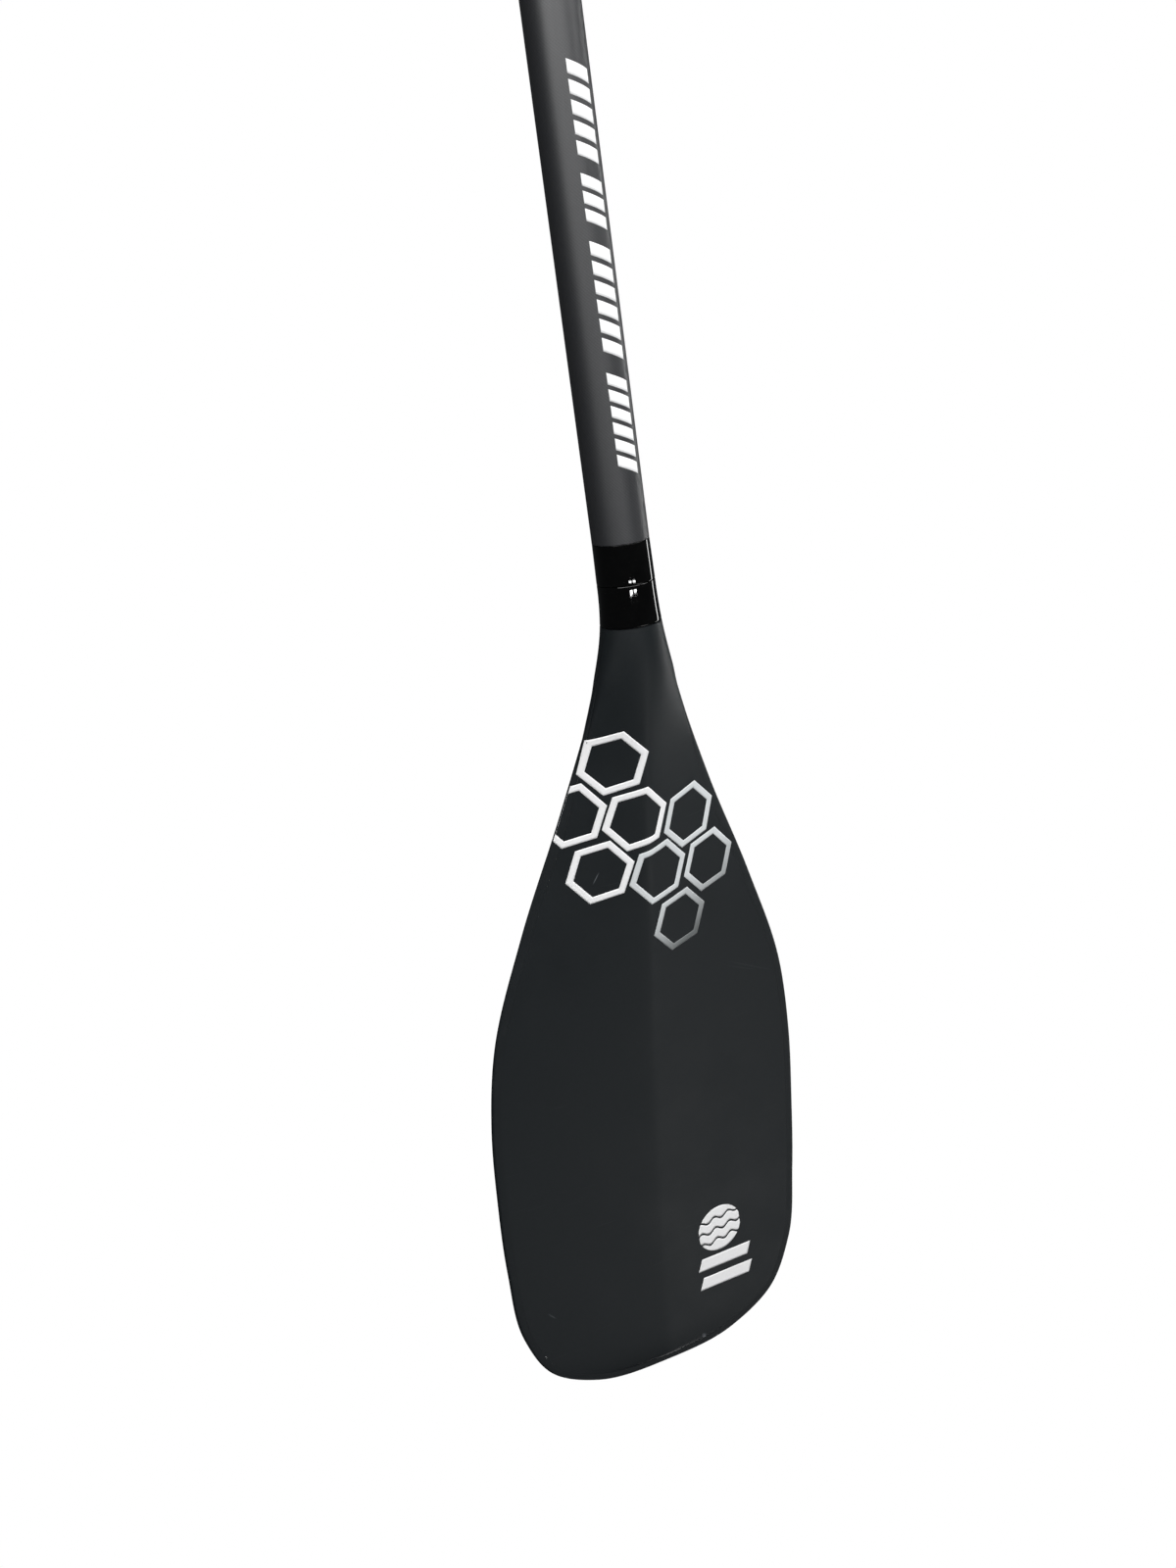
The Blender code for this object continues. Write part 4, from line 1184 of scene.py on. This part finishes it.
def seam_sleeve(paint):
    """Gloss sleeve on the shaft's lower end, flaring a little to the seam."""
    low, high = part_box("shaft_end_band")
    inner = SHAFT_RADIUS - SLEEVE_SEAT
    profile = [(SHAFT_RADIUS - drop, high.z - along) for along, drop in rim(UPPER_RIM, UPPER_RIM)]
    lower_rim = rim(SEAM_RIM_ALONG, SEAM_RIM_DROP)[::-1]
    profile += [(high.x - drop, low.z + along) for along, drop in lower_rim]
    profile += [(inner, low.z), (inner, high.z)]
    return lathe("seam_gloss_sleeve", profile, paint)


def add_tube_print(bm, radius, angles, heights, drop=0.0):
    """A patch of print round a tube. It drops by some height from its first angle to its last."""
    out = radius + INK_LIFT
    rows = []
    for k in range(TUBE_PRINT_ROWS + 1):
        z = mix(*heights, k / TUBE_PRINT_ROWS)
        row = []
        for m in range(TUBE_PRINT_COLUMNS + 1):
            share = m / TUBE_PRINT_COLUMNS
            angle = mix(*angles, share)
            row.append(Vector((out * math.sin(angle), -out * math.cos(angle), z - drop * share)))
        rows.append(row)
    add_grid(bm, rows)


def shaft_marks(paint):
    """Rows of plain slanted bars round the front of the shaft."""
    bm = bmesh.new()
    for first, last, count in SHAFT_MARKS:
        pitch = (first - last) / count
        for n in range(count):
            high = SEAM_Z + first - pitch * n - pitch * (1 - SHAFT_MARK_FILL) / 2
            low = high - pitch * SHAFT_MARK_FILL
            add_tube_print(bm, SHAFT_RADIUS, SHAFT_MARK_ANGLES, (low, high), SHAFT_MARK_DROP)
    return ink_film("shaft_bar_marks", bm, paint)


def button(paint):
    """Snap button: a domed pin with a flange at its foot."""
    low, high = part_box("snap_button")
    shoulder = low.y + BUTTON_FLANGE
    profile = []
    for angle in turns(math.pi / 2, BUTTON_DOME_STEPS):
        radius = BUTTON_RADIUS * math.sin(angle) ** BUTTON_DOME_POWER
        profile.append((radius, high.y - BUTTON_DOME * (1 - math.cos(angle))))
    profile += [(BUTTON_RADIUS, shoulder), (high.x, shoulder), (high.x, low.y), (0, low.y)]
    at = (0, 0, BUTTON_Z)
    return lathe("snap_button_fine", profile, paint, SMALL_STEPS, at, Y_AXIS_TURN, closed=False)


def leaf_spring(paint):
    """Bent leaf with a near arm by the button and a far arm, joined by a half turn at its foot."""
    low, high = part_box("snap_spring")
    near = high.y - LEAF_THICKNESS / 2
    far = low.y + LEAF_THICKNESS / 2
    radius = (near - far) / 2
    base = low.z + LEAF_THICKNESS / 2 + radius
    path = [(near, high.z)]
    for turn in turns(math.pi, LEAF_BEND_STEPS):
        path.append((far + radius * (1 + math.cos(turn)), base - radius * math.sin(turn)))
    path.append((far, high.z))
    across = [mix(low.x, high.x, n / LEAF_COLUMNS) for n in range(LEAF_COLUMNS + 1)]
    bm = bmesh.new()
    add_grid(bm, [[(x, y, z) for x in across] for y, z in path])
    leaf = object_from("snap_leaf_spring", bm, paint)
    thicken(leaf, LEAF_THICKNESS)
    leaf.modifiers.new("Edge", "BEVEL").width = LEAF_EDGE
    bake(leaf)
    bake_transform(leaf)
    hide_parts("snap_spring")


# ---- clamp pieces


def bolt_hole(paint):
    reach = BOLT_HOLE_REACH
    return rod("hole", BOLT_RADIUS + GAP, -reach, reach, paint, SMALL_STEPS, *ALONG_BOLT)


def clamp_collar(paint):
    """Split collar with two ears and moulded ribs under them."""
    ribs = []
    for rib in range(COLLAR_RIBS):
        middle = COLLAR_LOW + COLLAR_RIB_FIRST + COLLAR_RIB_PITCH * rib
        ribs += [(COLLAR_RADIUS + rise, middle + up) for up, rise in COLLAR_RIB]
    ribs.sort(key=lambda point: -point[1])
    profile = [(COLLAR_RADIUS, COLLAR_HIGH), *ribs, (COLLAR_RADIUS, COLLAR_LOW)]
    profile += [(COLLAR_BORE, COLLAR_LOW), (COLLAR_BORE, COLLAR_HIGH)]
    collar = lathe("clamp_collar_moulding", profile, paint)
    ears_low = (-EAR_X, COLLAR_BORE + OVERRUN, BOLT.z - EAR_HALF_HEIGHT)
    ears_high = (EAR_X, EAR_Y, BOLT.z + EAR_HALF_HEIGHT)
    slit_low = (-SLIT / 2, COLLAR_BORE - SLIT_REACH, COLLAR_LOW - OVERRUN)
    slit_high = (SLIT / 2, EAR_Y + OVERRUN, COLLAR_HIGH + OVERRUN)
    join(collar, block("ears", ears_low, ears_high, paint))
    cut(collar, block("slit", slit_low, slit_high, paint), bolt_hole(paint))
    soften(collar, 0.0004)
    return collar


def clamp_bush(paint):
    """Thin split bush between the collar and the inner tube, with the key that keeps it straight."""
    low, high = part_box("clamp_bush")
    inner = TUBE_RADIUS + GAP
    outer = COLLAR_BORE - GAP
    lip_low = COLLAR_HIGH + GAP
    profile = [(high.x, high.z), (high.x, lip_low), (outer, lip_low), (outer, low.z)]
    profile += [(inner, low.z), (inner, high.z)]
    bush = lathe("clamp_bush_moulding", profile, paint)
    slit_low = (-BUSH_SLIT / 2, -COLLAR_RADIUS - OVERRUN, low.z - OVERRUN)
    slit_high = (BUSH_SLIT / 2, BUSH_SLIT_REACH - inner, high.z + OVERRUN)
    key_low = (-GROOVE_WIDTH / 2 + GAP, GROOVE_FLOOR + GAP, low.z + GAP)
    key_high = (GROOVE_WIDTH / 2 - GAP, inner + OVERRUN, lip_low)
    cut(bush, block("slit", slit_low, slit_high, paint))
    join(bush, block("key", key_low, key_high, paint))
    soften(bush, 0.0002, 2)
    return bush


def clamp_bolt(paint):
    """Cap screw with a hexagon socket in its head."""
    low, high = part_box("clamp_bolt")
    head_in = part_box("clamp_washer")[0].x - GAP
    head = high.z - BOLT.z
    profile = [(0, high.x), (BOLT_RADIUS, high.x), (BOLT_RADIUS, head_in), (head, head_in)]
    profile += [(head, low.x), (0, low.x)]
    bolt = lathe("clamp_cap_screw", profile, paint, ROD_STEPS, *ALONG_BOLT, closed=False)
    outer, inner = low.x - OVERRUN, low.x + SOCKET_DEPTH
    cut(bolt, rod("socket", SOCKET_RADIUS, outer, inner, paint, SOCKET_SIDES, *ALONG_BOLT))
    soften(bolt, 0.00035)
    return bolt


def clamp_washer(paint):
    low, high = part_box("clamp_washer")
    profile = tube_profile(high.z - BOLT.z, BOLT_RADIUS + GAP, low.x, high.x)
    washer = lathe("clamp_washer_ring", profile, paint, ROD_STEPS, *ALONG_BOLT)
    soften(washer, 0.00012, 2)
    return washer


def clamp_pad(paint):
    """Thrust pad that the cam presses on, bored for the bolt."""
    pad = block("clamp_cam_pad", *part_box("clamp_pad"), paint)
    cut(pad, bolt_hole(paint))
    soften(pad, 0.0003)
    return pad


def clamp_pin(paint):
    """Cross pin that the lever turns on, bored for the bolt."""
    low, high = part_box("clamp_pin")
    pin = rod("clamp_barrel_pin", PIN_RADIUS, low.z, high.z, paint, ROD_STEPS, (PIN.x, PIN.y, 0))
    cut(pin, bolt_hole(paint))
    soften(pin, 0.0003)
    return pin


def clamp_lever(paint):
    """Cam lever, closed round the collar, with ribs under the thumb."""
    cam_at = (PIN.x - CAM_OFFSET, PIN.y, PIN.z)
    cam_span = (-LEVER_HALF_HEIGHT, LEVER_HALF_HEIGHT)
    slot_span = (-LEVER_SLOT_HALF, LEVER_SLOT_HALF)
    hole_span = (-PIN_HOLE_REACH, PIN_HOLE_REACH)
    arm_span = (PIN.z - ARM_HALF_HEIGHT, PIN.z + ARM_HALF_HEIGHT)
    rib_span = (arm_span[0] + THUMB_RIB_SHORT, arm_span[1] - THUMB_RIB_SHORT)
    lever = rod("clamp_cam_lever", CAM_RADIUS, *cam_span, paint, CAM_STEPS, cam_at)
    join(lever, plate("arm", lever_arm_outline(), *arm_span, paint))
    cut(
        lever,
        rod("slot", LEVER_SLOT_RADIUS, *slot_span, paint, CAM_STEPS, PIN),
        rod("hole", PIN_RADIUS + GAP, *hole_span, paint, ROD_STEPS, PIN),
    )
    soften(lever, 0.0007)
    for rib in range(THUMB_RIBS):
        angle = ARM_LAST + THUMB_RIB_FIRST + THUMB_RIB_PITCH * rib
        at = (*on_circle(ARM_OUTER + THUMB_RIB_OUT, angle), 0)
        join(lever, rod("rib", THUMB_RIB_RADIUS, *rib_span, paint, THUMB_RIB_STEPS, at))
    return lever


def lever_arm_outline():
    """The arm seen from above: straight off the cam, then round the collar to a thumb tip."""
    outer = arc(ARM_OUTER, ARM_FIRST, ARM_LAST, ARM_STEPS)
    inner = arc(ARM_INNER, ARM_LAST + ARM_INNER_SHORT, ARM_FIRST, ARM_STEPS)
    tip = [on_circle(ARM_OUTER + out, ARM_LAST - past) for out, past in TIP_POINTS]
    roots = []
    for across, out in (ARM_ROOT_INNER, ARM_ROOT_OUTER):
        roots.append((PIN.x + across * CAM_RADIUS, PIN.y + out))
    return [*roots, *outer, *tip, *inner]


# ---- extension and grip pieces


def inner_tube(paint):
    """The sliding tube, with the groove that the bush's key runs in."""
    tube = lathe("inner_tube", tube_profile(TUBE_RADIUS, TUBE_BORE, TUBE_LOW, TUBE_TOP), paint)
    low = (-GROOVE_WIDTH / 2, GROOVE_FLOOR, TUBE_LOW - OVERRUN)
    high = (GROOVE_WIDTH / 2, TUBE_RADIUS + OVERRUN, TUBE_TOP - GROOVE_END)
    cut(tube, block("groove", low, high, paint))
    soften(tube, 0.00015, 2)
    return tube


def height_scale(paint):
    """Plain ticks down the front of the sliding tube, every fifth one longer."""
    bm = bmesh.new()
    for n in range(TICK_COUNT):
        z = TICK_FIRST - TICK_PITCH * n
        half = TICK_SHORT if n % TICKS_TO_A_LONG_ONE else TICK_LONG
        add_tube_print(bm, TUBE_RADIUS, (-half, half), (z, z + TICK_HEIGHT))
    return ink_film("height_scale_ticks", bm, paint)


def grip_ring(paint):
    """Gloss ring under the grip, rounded at both rims."""
    low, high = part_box("handle_ring")
    bore = TUBE_RADIUS + GAP
    rounded = rim(RING_RIM, RING_RIM)
    profile = []
    for along, drop in rounded:
        profile.append((high.x - drop * RING_TOP_SHARE, high.z - along * RING_TOP_SHARE))
    profile += [(high.x - drop, low.z + along) for along, drop in rounded[::-1]]
    profile += [(bore, low.z), (bore, high.z)]
    return lathe("grip_gloss_ring", profile, paint)


def grip_width(climb):
    """Half width of the grip below its shoulder, from its foot at 0 to the shoulder at 1."""
    return mix(GRIP_FOOT, GRIP_HALF_WIDTH, smooth_step(climb, *GRIP_FLARE) ** GRIP_FLARE_POWER)


def grip_size(share, inset):
    """Half width, half depth and height of the grip, from its foot at 0 to its crown at 1."""
    rise = GRIP_HEIGHT * share
    if rise <= GRIP_SHOULDER:
        climb = rise / GRIP_SHOULDER
        depth = mix(GRIP_FOOT, GRIP_WAIST, smooth_step(climb, 0.0, GRIP_WAIST_SHARE))
        depth = mix(depth, GRIP_PALM, smooth_step(climb, GRIP_PALM_SHARE, 1.0))
        return grip_width(climb) - inset, depth - inset, rise
    over = (rise - GRIP_SHOULDER) / (GRIP_HEIGHT - GRIP_SHOULDER)
    crown = math.sqrt(max(1 - over * over, 0.0))
    return (grip_width(1.0) - inset) * crown**GRIP_CROWN_POWER, (GRIP_PALM - inset) * crown, rise


def grip_shares(low, high, rows):
    """Heights of the sections, closer together near the crown."""
    return [low + (high - low) * math.sin(angle) for angle in turns(math.pi / 2, rows)]


def squared(value):
    return math.copysign(abs(value) ** GRIP_SQUARENESS, value)


def grip_half(name, side, paint):
    """Half of the grip: a wall round a hollow, open at the join, with a bore for the stem."""
    rings = []
    for share in grip_shares(0.0, 1.0, GRIP_ROWS):
        width, depth, rise = grip_size(share, 0.0)
        ring = []
        for angle in turns(math.pi, GRIP_SIDES):
            x = squared(math.cos(angle)) * width
            y = side * (HALF_GAP + squared(math.sin(angle)) * depth)
            ring.append(Vector((x, y, TUBE_TOP + rise)))
        rings.append(ring)
    half = loft(name, rings, paint, MERGE_COARSE)
    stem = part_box("handle_stem")[1]
    bore = rod("bore", stem.x + GAP, TUBE_TOP - STEM_BORE_REACH, stem.z + GAP, paint)
    cut(half, grip_hollow(paint), bore)
    soften(half, GRIP_SEAM)
    return half


def grip_hollow(paint):
    """The space inside both halves."""
    low = GRIP_SOLID_FOOT / GRIP_HEIGHT
    high = 1 - GRIP_WALL / GRIP_HEIGHT
    rings = []
    for share in grip_shares(low, high, HOLLOW_ROWS):
        width, depth, rise = grip_size(share, GRIP_WALL)
        crown = math.sqrt(max(1 - (share / high) ** HOLLOW_CROWN_POWER, 0.0))
        ring = []
        for angle in turns(math.tau, HOLLOW_SIDES)[:-1]:
            x = squared(math.cos(angle)) * width * crown
            y = squared(math.sin(angle)) * depth * crown
            ring.append(Vector((x, y, TUBE_TOP + rise)))
        rings.append(ring)
    return loft("hollow", rings, paint, MERGE_COARSE)


# ---- stage, lights and camera


def camera():
    made = bpy.data.cameras.new("camera")
    made.lens = CAMERA_LENS
    made.sensor_width = 36.0
    made.clip_start = 0.05
    made.clip_end = 50.0
    back = CAMERA_RIGHT.cross(CAMERA_UP)
    turn = Matrix((CAMERA_RIGHT, CAMERA_UP, back)).transposed().to_4x4()
    obj = new_object("camera", made)
    obj.matrix_world = Matrix.Translation(CAMERA_PLACE) @ turn
    bpy.context.scene.camera = obj


def floor():
    """A plain white floor, which neither shades nor mirrors in the object."""
    bm = bmesh.new()
    bmesh.ops.create_grid(bm, x_segments=1, y_segments=1, size=FLOOR_SIZE / 2)
    bmesh.ops.translate(bm, verts=bm.verts, vec=(0, 0, FLOOR_Z))
    made, _, shader = new_material("pale_floor", 0.9, specular=0.0)
    shader.inputs["Base Color"].default_value = (0.0, 0.0, 0.0, 1.0)
    shader.inputs["Emission Color"].default_value = (1.0, 1.0, 1.0, 1.0)
    shader.inputs["Emission Strength"].default_value = 1.0
    obj = object_from("floor", bm, made)
    obj.visible_diffuse = False
    obj.visible_glossy = False
    obj.visible_shadow = False
    obj.visible_transmission = False


def area_light(name, where, width, height, power):
    """A soft box. It stands at a turn from the power face's side towards +X, a rise above level
    and a distance, all seen from the point that it is aimed at.
    """
    turn, rise, distance = math.radians(where[0]), math.radians(where[1]), where[2]
    level = math.cos(rise)
    away = Vector((math.sin(turn) * level, -math.cos(turn) * level, math.sin(rise)))
    made = bpy.data.lights.new(name, "AREA")
    made.shape = "RECTANGLE"
    made.size = width
    made.size_y = height
    made.energy = power
    obj = new_object(name, made)
    obj.location = LIGHT_AIM + away * distance
    obj.rotation_euler = away.to_track_quat("Z", "Y").to_euler()


def studio():
    """A white surround seen by the camera, and a dim one with soft boxes for the object."""
    world = bpy.data.worlds.new("studio")
    bpy.context.scene.world = world
    world.use_nodes = True
    tree = world.node_tree
    fill = tree.nodes["Background"]
    fill.inputs["Color"].default_value = FILL_COLOUR
    fill.inputs["Strength"].default_value = FILL_STRENGTH
    white = add_node(tree, "ShaderNodeBackground", {"Color": (1, 1, 1, 1), "Strength": 1.0})
    seen = add_node(tree, "ShaderNodeLightPath").outputs["Is Camera Ray"]
    values = {0: seen, 1: fill.outputs[0], 2: white.outputs[0]}
    joined = add_node(tree, "ShaderNodeMixShader", values)
    tree.links.new(joined.outputs[0], tree.nodes["World Output"].inputs["Surface"])
    for light in LIGHTS:
        area_light(*light)


# ---- assembly


def finish_node(name, paint):
    """Gives a carried-over CAD node its material."""
    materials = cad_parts[name].data.materials
    materials.clear()
    materials.append(paint)


def build():
    bpy.context.scene.view_settings.view_transform = "Standard"
    camera()
    floor()
    studio()

    matte = blade_matte()
    edge = edge_black()
    weave = carbon()
    gloss = gloss_black()
    ink = white_ink()
    metal = steel()
    plastic = grained_plastic("grained_nylon", NYLON_DARK, NYLON_LIGHT, 0.45, 1400.0)
    soft = grained_plastic("soft_grip_plastic", GRIP_DARK, GRIP_LIGHT, 0.55, 1100.0)
    cellular = foam()
    stopper = rubber()

    front_skin = blade_skin("power_face_skin", front_height, 1, matte)
    back_skin = blade_skin("back_face_skin", back_height, -1, matte)
    place(front_skin, "root", "blade_matte", "blade_power_face")
    place(back_skin, "root", "blade_matte", "blade_back_face")
    place(blade_rail(edge), "root", "edge_black", "blade_edge_rail")
    place(neck_sleeve(gloss), "root", "gloss_black", "neck_band")
    place(shaft_tube(weave), "root", "carbon", "main_shaft")
    place(seam_sleeve(gloss), "root", "gloss_black", "shaft_end_band")
    place(button(metal), "button", "steel", "snap_button")
    leaf_spring(metal)
    place(clamp_collar(plastic), "root", "black_plastic", "clamp_collar")
    place(clamp_bush(plastic), "root", "black_plastic", "clamp_bush")
    place(clamp_bolt(metal), "root", "steel", "clamp_bolt")
    place(clamp_washer(metal), "root", "steel", "clamp_washer")
    place(clamp_pad(metal), "root", "steel", "clamp_pad")
    place(clamp_pin(metal), "root", "steel", "clamp_pin")
    place(clamp_lever(plastic), "lever", "lever_plastic", "clamp_lever")
    place(inner_tube(weave), "extension", "carbon", "extension_tube")
    place(height_scale(ink), "extension")
    place(grip_ring(gloss), "extension", "gloss_black", "handle_ring")
    place(grip_half("grip_front_half", -1, soft), "extension", "grip_plastic", "handle_front_shell")
    place(grip_half("grip_back_half", 1, soft), "extension", "grip_plastic", "handle_back_shell")
    place(shaft_marks(ink), "root")
    honeycomb(ink, silver_ink())
    wave_mark(ink)
    mark_bars(ink)

    for node in ("blade_foam_core", "shaft_plug", "extension_plug"):
        finish_node(node, cellular)
    finish_node("blade_ferrule", weave)
    finish_node("ferrule_plug", stopper)
    finish_node("extension_guide", plastic)
    finish_node("handle_stem", plastic)


build()
